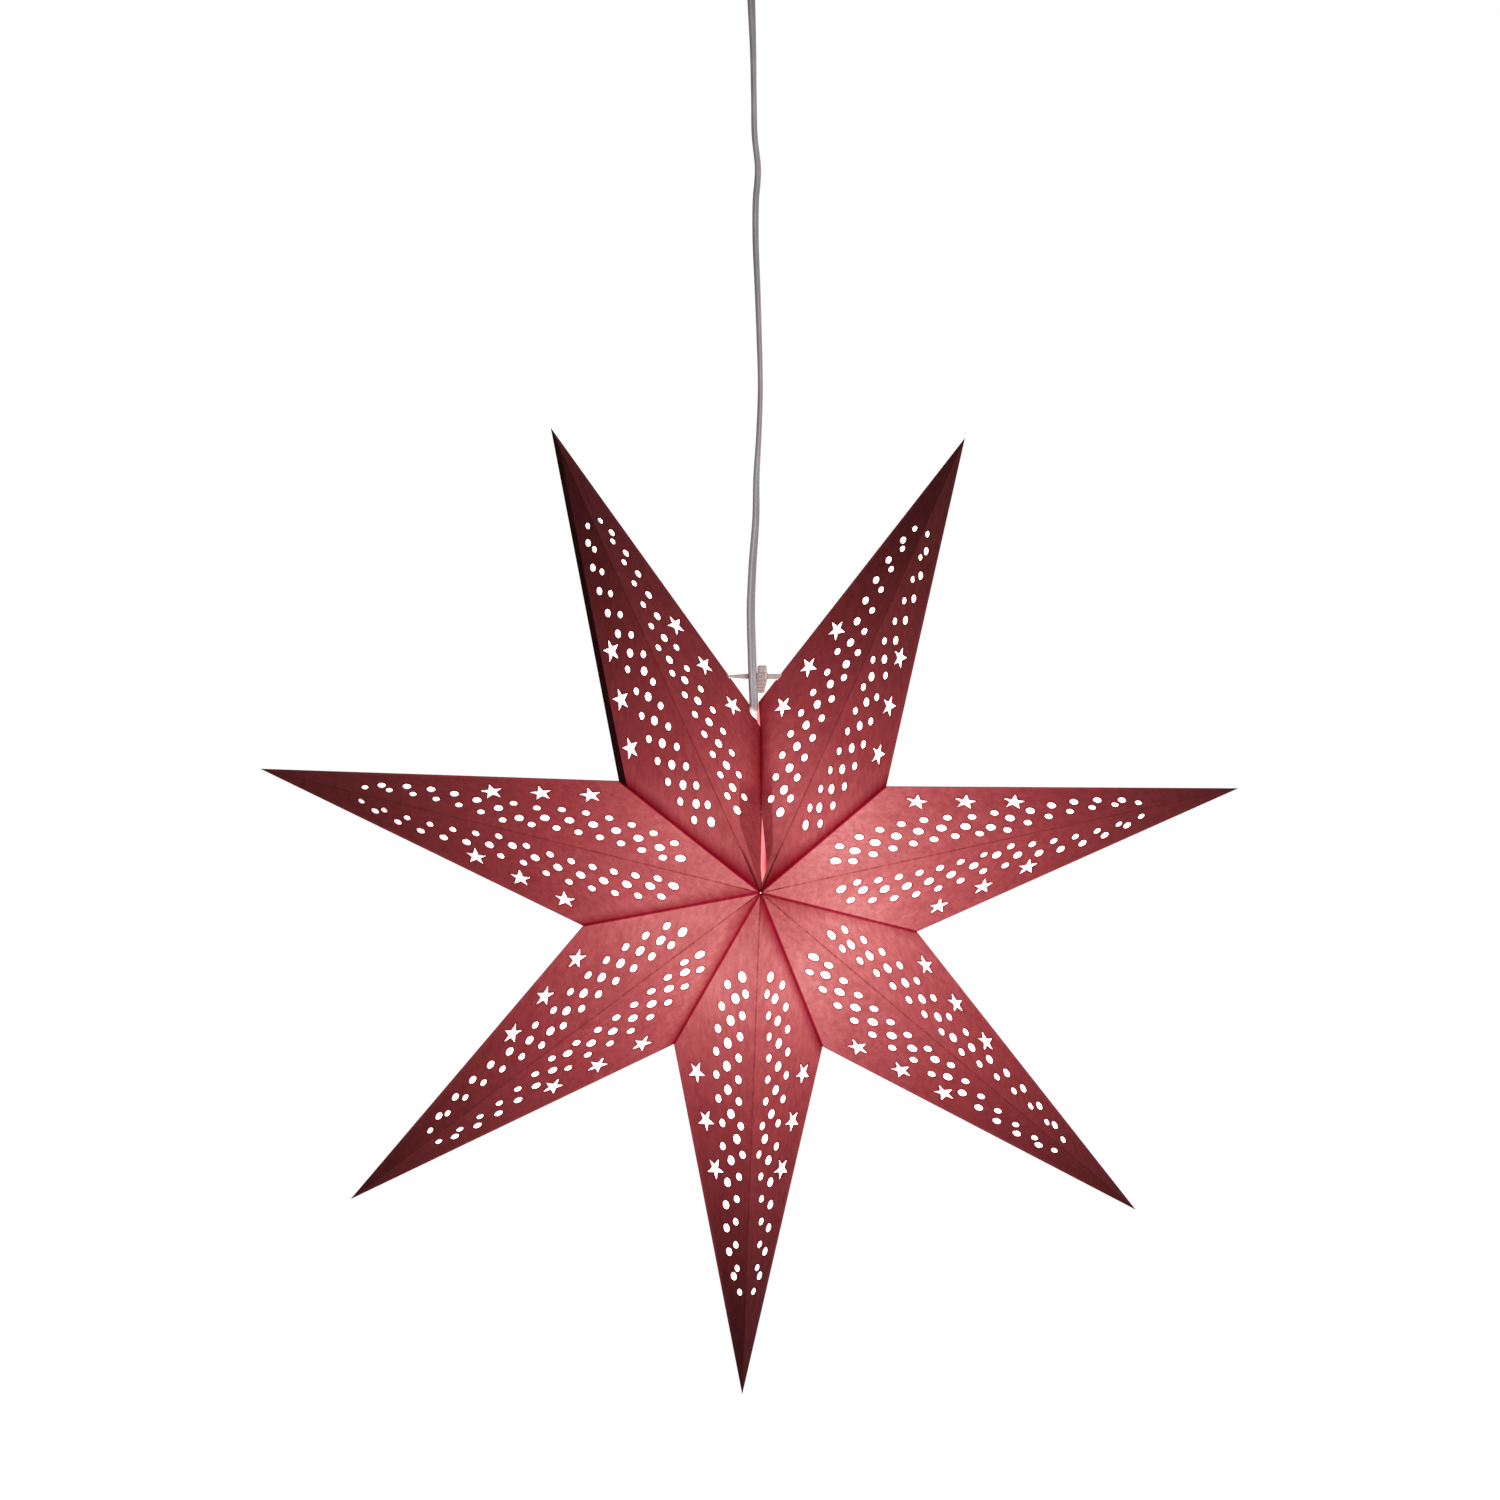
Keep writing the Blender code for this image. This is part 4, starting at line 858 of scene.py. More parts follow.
def shell_mesh(name, parts, thickness, values):
    """Closed shell of a folded sheet: its outer face, its inner face and the cut edges between them.

    Parts that meet share their points. A point moves in by thickness (sum of normals) (count) / |sum of normals|^2,
    which keeps the wall even across a fold. Values are named corner values, one for each part's point.
    """
    sizes = [len(part.places) for part in parts]
    starts = np.cumsum([0] + sizes)
    loose = np.vstack([part.places for part in parts])
    flat = np.vstack([part.flat for part in parts])
    triangles = np.vstack([part.triangles + start for part, start in zip(parts, starts)])
    owner = np.repeat(np.arange(len(parts)), [len(part.triangles) for part in parts])
    keys = np.round(loose / merge_distance).astype(np.int64)
    _, first, index = np.unique(keys, axis=0, return_index=True, return_inverse=True)
    index = index.ravel()
    merged = index[triangles]
    whole = (merged != np.roll(merged, 1, axis=1)).all(axis=1)
    places, merged, triangles, owner = loose[first], merged[whole], triangles[whole], owner[whole]
    meets = np.zeros((len(places), len(parts)))
    meets[merged.ravel(), np.repeat(owner, 3)] = 1.0
    normals = meets @ np.array([part.normal for part in parts])
    count = meets.sum(axis=1)
    step = normals * (count / np.maximum((normals**2).sum(axis=1), 1e-6))[:, None] * thickness
    total = len(places)
    edges = np.vstack((merged[:, (0, 1)], merged[:, (1, 2)], merged[:, (2, 0)]))
    loose_edges = np.vstack((triangles[:, (0, 1)], triangles[:, (1, 2)], triangles[:, (2, 0)]))
    rim = ~np.isin(edges[:, 0] * total + edges[:, 1], edges[:, 1] * total + edges[:, 0])
    a, b = edges[rim, 0], edges[rim, 1]
    rim_faces = np.column_stack((b, a, a + total, b + total))
    inner = merged[:, ::-1] + total
    mesh = new_mesh(name, np.vstack((places, places - step)), [merged, inner, rim_faces])
    loose_a, loose_b = loose_edges[rim, 0], loose_edges[rim, 1]
    rim_sources = np.column_stack((loose_b, loose_a, loose_a, loose_b))
    sources = np.concatenate((triangles.ravel(), triangles[:, ::-1].ravel(), rim_sources.ravel()))
    mesh.uv_layers.new(name="paper").uv.foreach_set("vector", flat[sources].astype(np.float32).ravel())
    for label, value in values.items():
        mesh.attributes.new(label, "FLOAT", "CORNER").data.foreach_set("value", value[sources].astype(np.float32))
    outer = np.array([part.finish for part in parts])[owner]
    slots = np.concatenate((outer, np.full(len(merged), 1), np.full(len(rim_faces), 2)))
    mesh.polygons.foreach_set("material_index", slots.astype(np.int32))
    smooth_mesh(mesh)
    return mesh


def smooth_mesh(mesh, degrees=32):
    mesh.shade_smooth()
    mesh.set_sharp_from_angle(angle=math.radians(degrees))


def piece(name, mesh, materials, body, replaced):
    """An object at the origin that rides on a body and stands for CAD nodes."""
    made = bpy.data.objects.new(name, mesh)
    bpy.context.scene.collection.objects.link(made)
    for finish in materials:
        mesh.materials.append(finish)
    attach(made, body)
    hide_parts(*replaced)
    return made


def bar_crossing(paper, shape, n, side, height):
    """Way up a top point's outer edge to where the cross bar passes, and the edge's rise."""
    _, tip, valley = panel_corners(paper, n, -1, side)
    rise = (tip[2] - valley[2]) / shape.edge
    return (height - valley[2]) / rise, rise


def paper_outside(paper, shape, look):
    """Matt red paper that the lamp shines through, with darker fold lines and drifting fibres, and painted shade from
    the glue flaps and along the seam in both its glow and its base colour.
    """
    made = Shading("red_paper_outside", roughness=0.9, specular_ior_level=0.0)
    flat = made.add("UVMap", uv_map="paper")
    corner_u, corner_v = shape.corner
    glow, shade, flap, rim, seam = (made.attribute(name) for name in ("glow", "shade", "flap", "rim", "seam"))
    valley_in = made.dot(flat, (corner_v / shape.valley, -corner_u / shape.valley))
    along = made.dot(flat, (-corner_u / shape.valley, -corner_v / shape.valley), shape.valley)
    from_centre = made.math("SUBTRACT", shape.valley, along)
    edge_across = (-corner_v / shape.edge, -(shape.ridge - corner_u) / shape.edge)
    edge_in = made.dot(flat, edge_across, shape.ridge * corner_v / shape.edge)
    ridge_in = made.dot(flat, (0.0, 1.0))
    ridge_along = made.dot(flat, (1.0, 0.0))
    mm = 0.001
    at_seam = made.math("GREATER_THAN", flap, mm)
    off_seam = made.less(at_seam)
    # Painted shadow of the open seam's end flap in the lamp's light: a crisp band with a steep slant at its foot
    flap_side = made.ease(made.math("SUBTRACT", flap, valley_in), -0.6 * mm, 0.6 * mm)
    flap_side = made.times(flap_side, at_seam)
    flap_top = made.ease(along, paper.end_flap_start - 14 * mm, paper.end_flap_start + 4 * mm)
    slant = made.math("SUBTRACT", from_centre, made.times(valley_in, 2.5))
    flap_foot = made.ease(slant, 2.0 * mm, 4.0 * mm)
    end_flap_shadow = made.times(flap_side, flap_top, flap_foot)
    # Painted shadow of the end flaps' feet: a dark stripe down the top points' ridges beside the centre
    ridge_shadow = made.ease(ridge_in, 0.3 * mm, made.ease(flap, 10 * mm, 15 * mm, 1.3 * mm, 3.4 * mm), 1.0, 0.0)
    ridge_shadow = made.times(ridge_shadow, made.ease(ridge_along, 22 * mm, 33 * mm, 0.88, 0.0), at_seam)
    # Shade that a glue flap throws on the panel over it
    reach = made.ease(from_centre, 0.0, 60 * mm, look.shade_start, look.shade_width)
    reach = made.math("ADD", reach, made.times(at_seam, look.seam_shade_width))
    over_flap = made.ease(along, 56 * mm, 78 * mm, 0.0, 0.75)
    shade = made.times(shade, made.less(made.times(at_seam, over_flap)))
    nearness = made.less(made.math("DIVIDE", valley_in, reach))
    fading = made.math("POWER", made.math("MAXIMUM", nearness, 0.0), 1.3)
    # Painted shade along the open seam: a soft dark line, narrower at its slit, with a softer shade beside its upper
    # part
    seam_reach = made.ease(along, 45 * mm, 68 * mm, 3.0 * mm, 1.4 * mm)
    seam_near = made.less(made.math("MINIMUM", made.math("DIVIDE", seam, seam_reach), 1.0))
    seam_shade = made.times(made.math("POWER", seam_near, 1.6), 0.74)
    upper_seam = made.ease(along, 45 * mm, 62 * mm, 1.0, 0.0)
    beside_seam_shade = made.times(made.ease(seam, 0.0, 10 * mm, 0.3, 0.0), upper_seam)
    # Fold lines, broken up by noise
    grain = made.noise(900.0, 3.0)
    streaks = made.noise(260.0, 4.0, stretch=(1.0, 1.0, 0.45), roughness=0.62)
    clouds = made.noise(70.0, 3.0)
    breaks = made.ease(made.noise(420.0, 1.0), 0.38, 0.60, 0.50, 1.0)
    near_centre = made.ease(ridge_along, 8 * mm, 24 * mm, 0.28, 0.0)
    ridge_line = made.times(made.ease(ridge_in, 0.3 * mm, 0.95 * mm, 1.0, 0.0), breaks)
    line_width = made.ease(shade, 0.0, 0.5, 1.2 * mm, 2.1 * mm)
    valley_line = made.times(made.ease(valley_in, 0.4 * mm, line_width, 0.97, 0.0), off_seam)
    edge_line = made.ease(edge_in, 0.2 * mm, 0.9 * mm, 0.8, 0.0)
    # Share that stays clear of the crimson tint. The tint paints the glue flaps' shade and the seam's shade, and marks
    # the fold lines and hole rims, in both the glow and the base colour.
    clear = made.times(
        made.less(made.math("MINIMUM", made.times(shade, fading), 1.0)),
        made.less(valley_line),
        made.less(edge_line),
        made.less(seam_shade),
        made.ease(rim, 0.1, 0.75, 1.0, 0.05),
    )
    tint = made.blend(clear, look.crimson, (1.0, 1.0, 1.0))
    light = made.times(
        glow,
        made.less(made.times(end_flap_shadow, 0.42)),
        made.less(ridge_shadow),
        made.less(made.times(seam_shade, 0.85)),
        made.less(beside_seam_shade),
        made.less(made.times(ridge_line, made.math("ADD", near_centre, 0.38))),
        made.ease(streaks, 0.25, 0.75, 0.88, 1.12),
        made.ease(clouds, 0.25, 0.75, 0.95, 1.05),
        made.ease(grain, 0.3, 0.7, 0.96, 1.04),
    )
    through = (
        (0.0, (0.0, 0.0, 0.0)),
        (0.10, (0.10, 0.0125, 0.0145)),
        (0.25, (0.25, 0.033, 0.039)),
        (0.45, (0.45, 0.088, 0.096)),
        (0.65, (0.65, 0.178, 0.182)),
        (1.0, (0.95, 0.42, 0.42)),
    )
    made.shine(made.multiply(made.ramp(light, through), tint))
    fibres = made.ease(streaks, 0.2, 0.8)
    ground = made.blend(fibres, scaled(look.paper, 0.82), scaled(look.paper, 1.2))
    # Base colour with its crease lines, darkened by the same painted shade as the glow
    made.set("Base Color", made.multiply(made.blend(made.times(ridge_line, 0.4), ground, (0.05, 0.014, 0.012)), tint))
    made.bump(made.math("ADD", grain, streaks), 0.00012, 0.5)
    return made.material


def shaded_rolled_paper(look):
    """Red paper painted darker as shade, for the unlit back beside the top left point, mottled by its fibres."""
    made = Shading("red_paper_painted_shade", roughness=0.9, specular_ior_level=0.0)
    streaks = made.ease(made.noise(260.0, 4.0, stretch=(1.0, 1.0, 0.45)), 0.25, 0.75)
    made.set("Base Color", made.blend(streaks, scaled(look.rolled, 0.8), scaled(look.rolled, 1.25)))
    made.bump(streaks, 0.0001, 0.4)
    return made.material


def paper_inside(look):
    """The white inner face in full lamp light, a little warmer in the drifts of its fibres."""
    made = Shading("paper_inside", roughness=0.9, specular_ior_level=0.1)
    drift = made.ease(made.noise(120.0, 3.0), 0.3, 0.7)
    made.set("Base Color", made.blend(drift, (0.86, 0.80, 0.77), (0.92, 0.88, 0.85)))
    made.shine(made.blend(drift, scaled(look.inside, 0.96), look.inside))
    return made.material


def lit_fold(look):
    """The open seam's right hem, bright where the lamp shines through its single layer."""
    made = Shading("red_paper_fold", roughness=0.9, specular_ior_level=0.0)
    streaks = made.ease(made.noise(260.0, 4.0, stretch=(1.0, 1.0, 0.45)), 0.25, 0.75)
    made.set("Base Color", made.blend(streaks, (0.08, 0.014, 0.015), (0.12, 0.02, 0.022)))
    seam = made.attribute("seam")
    shows = made.ease(seam, 0.0004, 0.0016)
    flank = np.array(look.fold) * (0.62, 0.15, 0.24)
    lit = made.blend(made.ease(seam, 0.0038, 0.0070), look.fold, flank)
    made.shine(made.blend(shows, (0.10, 0.006, 0.014), lit))
    made.bump(streaks, 0.0001, 0.4)
    return made.material


def paper_edge(look):
    """Cut edges, dark crimson and lit by the lamp."""
    made = Shading("paper_edge", roughness=0.8, specular_ior_level=0.1)
    drift = made.noise(600.0, 2.0)
    glow = made.attribute("glow")
    made.set("Base Color", made.blend(drift, look.edge, scaled(look.edge, 1.6)))
    made.shine(made.ramp(glow, ((0.0, (0.05, 0.004, 0.008)), (0.6, (0.42, 0.03, 0.06)))))
    return made.material


class LANTERN_OT_camera(bpy.types.Operator):
    """Camera at the photograph's angle, with the star's centre at its place in the frame"""

    bl_idname = "lantern.camera"
    bl_label = "Camera"

    def execute(self, context):
        stage = context.scene.lantern_stage
        data = bpy.data.cameras.new("camera")
        camera = bpy.data.objects.new("camera", data)
        context.scene.collection.objects.link(camera)
        flat = math.cos(stage.elevation)
        back = Vector((math.sin(stage.azimuth) * flat, -math.cos(stage.azimuth) * flat, math.sin(stage.elevation)))
        camera.location = Vector((0.0, 0.0, -star_drop)) + back * stage.distance
        camera.rotation_euler = (-back).to_track_quat("-Z", "Y").to_euler()
        data.sensor_width = sensor_width
        data.lens = sensor_width * stage.distance / (stage.pixel * image_size)
        data.shift_x = (image_size / 2 - stage.centre_x) / image_size
        data.shift_y = (stage.centre_y - image_size / 2) / image_size
        data.clip_end = 50.0
        context.scene.camera = camera
        return {"FINISHED"}


def way_along(path):
    """Length walked from a path's start to each of its places."""
    return np.concatenate(((0.0,), np.cumsum(np.linalg.norm(np.diff(path, axis=0), axis=1))))


def smooth_path(points, step):
    """Places at even steps on a Catmull-Rom curve through the points."""
    places = np.array(points)
    ends = np.vstack((2 * places[0] - places[1], places, 2 * places[-1] - places[-2]))
    before, start, end, after = (ends[k : len(ends) - 3 + k, None, :] for k in range(4))
    t = np.linspace(0, 1, 24, endpoint=False)[None, :, None]
    fine = (
        2 * start
        + (end - before) * t
        + (2 * before - 5 * start + 4 * end - after) * t**2
        + (3 * start - before - 3 * end + after) * t**3
    ) / 2
    fine = np.vstack((fine.reshape(-1, 3), places[-1]))
    walked = way_along(fine)
    wanted = np.linspace(0, walked[-1], max(2, round(walked[-1] / step)) + 1)
    return np.column_stack([np.interp(wanted, walked, fine[:, k]) for k in range(3)])


def unit(vectors):
    return vectors / np.linalg.norm(vectors, axis=-1, keepdims=True)


def swept(path, wide, profile):
    """Closed tube: at each place of the path, profile x along the wide direction and profile y square to it."""
    along = unit(np.gradient(path, axis=0))
    wide = unit(wide - (wide * along).sum(axis=1, keepdims=True) * along)
    square = np.cross(along, wide)
    places = path[:, None] + profile[..., :1] * wide[:, None] + profile[..., 1:] * square[:, None]
    return tube_faces(places)


def tube_faces(places, ring=False):
    """Points and faces of outlines in a row. A ring's last one joins its first, else fans close the ends."""
    count, sides = places.shape[:2]
    first = np.arange(count if ring else count - 1)[:, None] * sides
    after = (first + sides) % (count * sides)
    here = np.arange(sides)
    onwards = (here + 1) % sides
    quads = np.stack((first + here, first + onwards, after + onwards, after + here), axis=-1)
    if ring:
        return places.reshape(-1, 3), [quads.reshape(-1, 4)]
    middle_start, middle_end = count * sides, count * sides + 1
    start_fan = np.column_stack((np.full(sides, middle_start), onwards, here))
    last = (count - 1) * sides
    end_fan = np.column_stack((np.full(sides, middle_end), last + here, last + onwards))
    middles = places[(0, -1), :].mean(axis=1)
    return np.vstack((places.reshape(-1, 3), middles)), [quads.reshape(-1, 4), np.vstack((start_fan, end_fan))]


def cord_profile(cord, sides):
    """Two round cores side by side: x = a tanh(3 cos) + b cos, y = b sin, less a groove in the middle."""
    across, up = circle(sides).T
    b = cord.thickness / 2
    a = cord.width / 2 - b
    x = a * np.tanh(3 * across) / math.tanh(3) + b * across
    groove = 1 - cord.groove * np.exp(-((x / (0.35 * cord.thickness)) ** 2))
    return np.column_stack((x, b * up * groove))


def cord_sheath(cord):
    """Clear sheath over two greyish cores, with painted shade in the groove and further up the cord from the lamp, a
    soft gloss and faint scuffs.
    """
    made = Shading("cord_sheath", roughness=0.42, coat_weight=0.25, coat_roughness=0.3)
    flat = made.add("UVMap", uv_map="round")
    across = made.dot(flat, (1.0, 0.0))
    down = made.dot(flat, (0.0, 1.0))
    # Painted shade in the groove between the cores
    groove = made.ease(made.math("ABSOLUTE", made.math("SUBTRACT", across, 0.5)), 0.0, 0.16, 1.0, 0.0)
    # Painted light: the sheath darker further up the cord and lighter towards the lamp below
    low = made.ease(down, 0.30, 0.92)
    scuffs = made.ease(made.noise(160.0, 4.0, stretch=(1.0, 1.0, 0.3)), 0.35, 0.7)
    shaded_sheath = scaled(cord.sheath, 0.52)
    body = made.blend(low, shaded_sheath, cord.sheath)
    groove_shaded = made.blend(made.times(groove, 0.35), body, scaled(cord.sheath, 0.42))
    made.set("Base Color", made.blend(made.times(scuffs, 0.3), groove_shaded, (0.42, 0.39, 0.40)))
    height = made.dot(made.coordinates, (cord.lit_slope, 0.0, 1.0), -cord.lit_slope * cord_route[-3][0])
    lit = made.ease(height, cord.lit_height - 0.004, cord.lit_height, 1.0, 0.0)
    inside = made.ease(height, cord.lit_height - 0.017, cord.lit_height - 0.009, 1.0, 0.0)
    lamplight = made.blend(inside, (0.84, 0.78, 0.73), (0.36, 0.31, 0.28))
    made.shine(made.blend(lit, (0.0, 0.0, 0.0), lamplight))
    made.bump(made.noise(700.0, 2.0), 0.0001, 0.3)
    return made.material


class LANTERN_OT_cord(bpy.types.Operator):
    """Flat two-core cord along its route, turning from edge-on at the top to flat-on at the clip"""

    bl_idname = "lantern.cord"
    bl_label = "Cord"

    def execute(self, context):
        cord = context.scene.lantern_cord
        path = smooth_path(cord_route, cord.step)
        walked = way_along(path)
        share_down = walked / walked[-1]
        turn = np.radians(np.interp(share_down, (0, 0.1, 0.3, 0.55, 0.8, 1), (20, 78, 62, 88, 28, 10)))
        turn = np.convolve(np.pad(turn, 12, mode="edge"), np.ones(25) / 25, mode="valid")
        wide = np.column_stack((np.cos(turn), np.sin(turn), np.zeros(len(turn))))
        profile = np.tile(cord_profile(cord, cord.sides), (len(path), 1, 1))
        places, faces = swept(path, wide, profile)
        mesh = new_mesh("cord_flex", places, faces)
        around = np.append(np.tile(np.abs(np.linspace(-1, 1, cord.sides, endpoint=False)), len(path)), (0.0, 0.0))
        downwards = np.append(np.repeat(share_down, cord.sides), (0.0, 1.0))
        corners = np.concatenate([part.ravel() for part in faces])
        uv = np.column_stack((around, downwards))[corners]
        mesh.uv_layers.new(name="round").uv.foreach_set("vector", uv.astype(np.float32).ravel())
        smooth_mesh(mesh, 50)
        made = piece("cord_flex", mesh, [cord_sheath(cord)], "pendant", ["cord"])
        return {"FINISHED"}


class LANTERN_OT_paper(bpy.types.Operator):
    """Seven folded paper points, each one punched sheet with its glue flaps"""

    bl_idname = "lantern.paper"
    bl_label = "Paper points"

    def execute(self, context):
        paper, pattern, look = (getattr(context.scene, "lantern_" + key) for key in ("paper", "pattern", "glow"))
        shape = panel_shape(paper)
        clip = context.scene.lantern_clip
        finishes = [paper_outside(paper, shape, look), paper_inside(look), paper_edge(look)]
        finishes += [shaded_rolled_paper(look), lit_fold(look)]
        for n, point in enumerate(point_names):
            parts = []
            for side in (1, -1):
                seam = beside_seam(n, side)
                kind, nick = "over" if side > 0 else "under", ()
                if seam:
                    kind = "notched" if side < 0 else "seam"
                    way, rise = bar_crossing(paper, shape, n, side, bar_middle())
                    reach = ((clip.bar_tip_height if n else clip.bar_height) / 2 + paper.gap) / rise
                    square = ((1, 0), (1, 1), (-1, 1), (-1, 0))
                    nick = [(way + up * reach, depth * paper.nick_depth) for up, depth in square]
                cut = cut_panel(paper, pattern, shape, n, side, kind, nick)
                for face in (-1, 1):
                    rolled = is_rolled(n, face, side)
                    flat, triangles, rim = cut_panel(paper, pattern, shape, n, side, "rolled") if rolled else cut
                    places = on_panel(paper, shape, n, face, side, flat, swell=paper.swell)
                    made = [sheet_part(places, flat, triangles, panel_normal(paper, n, face, side), rim)]
                    if rolled:
                        made.append(rolled_strip(paper, shape, n))
                    if seam:
                        made += end_flap(paper, shape, n, face, side)
                    elif side < 0:
                        made.append(glue_flap(paper, shape, n, face, side))
                    for part in made:
                        part.shade = look.shades[n] if side > 0 else look.right_shades[n]
                        part.flap = paper.end_flap_widths[min(n, 1)] if seam else 0.0
                        part.seam = seam_distance(paper, shape, n, part.flat) if seam else 1.0
                    parts += made
            values = {"glow": glow_on(look, shape, n, np.vstack([part.flat for part in parts]))}
            for key in ("shade", "flap", "rim", "seam"):
                values[key] = np.concatenate([np.broadcast_to(getattr(part, key), len(part.places)) for part in parts])
            mesh = shell_mesh(point + "_sheet", parts, paper.thickness, values)
            replaced = [f"{point}_{face}_{side}" for face in ("front", "back") for side in ("left", "right")]
            made = piece(point + "_sheet", mesh, finishes, point, replaced)
            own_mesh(made)
        return {"FINISHED"}


def closed_piece(name, surfaces, finish, body, node, degrees=40):
    """A smooth piece of closed surfaces, each given as its places and face arrays. It stands for one CAD node."""
    starts = np.cumsum([0] + [len(places) for places, _ in surfaces])
    faces = [part + start for (_, parts), start in zip(surfaces, starts) for part in parts]
    mesh = new_mesh(name, np.vstack([places for places, _ in surfaces]), faces)
    smooth_mesh(mesh, degrees)
    return piece(name, mesh, [finish], body, [node])


def squircle(count, power=6.0):
    """Even steps round the rounded square |x|^p + |y|^p = 1, anticlockwise from +x."""
    turns = np.linspace(0.0, 2 * np.pi, 721)
    dense = np.column_stack((np.cos(turns), np.sin(turns)))
    dense /= (np.abs(dense) ** power).sum(axis=1, keepdims=True) ** (1 / power)
    walked = way_along(dense)
    wanted = np.linspace(0.0, walked[-1], count, endpoint=False)
    return np.column_stack([np.interp(wanted, walked, dense[:, k]) for k in range(2)])


def lofted(outline, halves, centres):
    """Level outlines one under the other: centre + half size times outline, with the outline's y turned round."""
    flat = outline[None] * (1.0, -1.0) * halves[:, None]
    return centres[:, None] + np.pad(flat, ((0, 0), (0, 0), (0, 1)))


def dented(places, middle, half, depth):
    """Places whose front faces are pressed in by a square dent with steep sides."""
    steep = 0.0002
    front = places[..., 1] < places[..., 1].mean() - half
    inside = np.clip((half - np.abs(places[..., (0, 2)] - middle)) / steep, 0, 1).min(axis=-1)
    places[..., 1] += front * inside * depth
    return places


def box_arrays(node):
    """Lowest and highest corner of a CAD node's box."""
    return (np.array(corner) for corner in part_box(node))


def bar_middle():
    low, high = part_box("clip_crossbar")
    return (low.z + high.z) / 2


def clip_bar(clip):
    """The cross bar along X. Its half height falls towards the left end, and both ends have a knob."""
    low, high = box_arrays("clip_crossbar")
    x = np.linspace(low[0], high[0], 150)
    from_end = np.minimum(x - low[0], high[0] - x)
    half = np.interp(x, (-clip.taper_end, -clip.taper_start), (clip.bar_tip_height / 2, clip.bar_height / 2))
    half = np.where(from_end < clip.knob_length, clip.knob_height / 2, half)
    rounding = np.sqrt(1 - np.clip(1 - from_end / clip.knob_rounding, 0, 0.97) ** 2)
    path = np.column_stack((x, np.zeros(len(x)), np.full(len(x), bar_middle())))
    wide = np.tile((0.0, 1.0, 0.0), (len(x), 1))
    halves = np.column_stack((np.full(len(x), clip.bar_thickness / 2), half)) * rounding[:, None]
    return swept(path, wide, squircle(40)[None] * halves[:, None])


def clip_socket(clip):
    """A square ring round the wedge: its outer side runs down, its inner side up, and its front is thicker."""
    low, high = box_arrays("clip_crossbar")
    wedge_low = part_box("clip_wedge")[0]
    middle = bar_middle()
    rows = 30
    way = np.linspace(-1, 1, rows)
    half = np.array((clip.socket_width, high[1] - low[1])) / 2
    outer = half * (1 - 0.06 * way**12)[:, None]
    hole = np.tile(half - (clip.socket_wall, 2 * clip.socket_wall), (3, 1))
    centre = (wedge_low.x + clip.socket_width / 2, (low[1] + high[1]) / 2)
    heights = middle + np.concatenate((-way, (-1, 0, 1))) * clip.socket_height / 2
    centres = np.column_stack((np.tile(centre, (len(heights), 1)), heights))
    centres[rows:, 1] += clip.socket_wall
    places = lofted(squircle(120), np.vstack((outer, hole)), centres)
    return tube_faces(dented(places, (centre[0] - clip.dent_shift, middle), clip.dent / 2, clip.dent_depth), ring=True)


def clip_tongue(clip):
    """The wedge along Z: a square head over a tapering tongue with its left side upright.

    Below the socket its half sizes lose a groove depth times (0.5 + 0.5 cos(2 pi way))^3 between its ribs.
    """
    low, high = box_arrays("clip_wedge")
    socket_foot = bar_middle() - clip.socket_height / 2
    top = high[2] - clip.head_drop
    z = np.linspace(top, low[2], 180)
    head = z >= socket_foot - clip.clearance
    share_down = np.clip((socket_foot - z) / (socket_foot - low[2]), 0, 1)
    half = clip.tongue_width / 2 * (1 - (1 - clip.tip_share) * share_down)
    groove = (0.5 + 0.5 * np.cos(2 * np.pi * (share_down * (clip.ribs + 0.3) - 0.35))) ** 3 * clip.groove_depth
    deep = clip.tongue_depth / 2 * (1 - 0.25 * share_down) - groove
    centre_x = low[0] + np.where(head, clip.socket_width / 2, half)
    half = np.where(head, clip.head_width / 2, half - 0.35 * groove)
    deep = np.where(head, (high[1] - low[1]) / 2 - 2 * clip.socket_wall - clip.clearance, deep)
    deep = np.where(z > socket_foot + clip.socket_height + clip.clearance, (high[1] - low[1]) / 2, deep)
    from_end = np.minimum(top - z, z - low[2])
    rounding = 1 - 0.25 * np.clip(1 - from_end / clip.knob_rounding, 0, 1) ** 2
    centres = np.column_stack((centre_x, np.full(len(z), (low[1] + high[1]) / 2), z))
    return tube_faces(lofted(squircle(120), np.column_stack((half, deep)) * rounding[:, None], centres))


def clear_plastic(clip):
    """Translucent plastic that has greyed: painted shade at its edges, where its faces turn from the view, darker in
    its drifts, and lit from the star below.
    """
    made = Shading("clear_plastic", transmission_weight=0.22, ior=1.49, coat_weight=0.2, coat_roughness=0.25)
    drift = made.ease(made.noise(260.0, 3.0), 0.32, 0.68)
    tint = clip.plastic
    # Painted shade where the faces turn away from the view
    grazing_shade = made.add("LayerWeight", [("Blend", 0.35)], output="Facing")
    body = made.blend(drift, scaled(tint, 0.82), tint)
    made.set("Base Color", made.blend(made.times(grazing_shade, 0.7), body, scaled(tint, 0.5)))
    made.set("Roughness", made.ease(drift, 0.0, 1.0, 0.22, 0.4))
    downwards = made.dot(made.add("NewGeometry", output="Normal"), (0.0, 0.0, -1.0))
    lit = made.ease(downwards, -0.25, 0.8)
    made.shine(made.blend(lit, (0.03, 0.02, 0.018), clip.underlight))
    made.bump(made.noise(600.0, 2.0), 0.00004, 0.4)
    return made.material


class LANTERN_OT_clip(bpy.types.Operator):
    """Cross bar with its socket beside the cord, and the ribbed wedge in the socket"""

    bl_idname = "lantern.clip"
    bl_label = "Cord clip"

    def execute(self, context):
        clip = context.scene.lantern_clip
        finish = clear_plastic(clip)
        bar = [clip_bar(clip), clip_socket(clip)]
        closed_piece("clip_bar", bar, finish, "bottom_point", "clip_crossbar")
        closed_piece("clip_tongue", [clip_tongue(clip)], finish, "bottom_point", "clip_wedge")
        return {"FINISHED"}


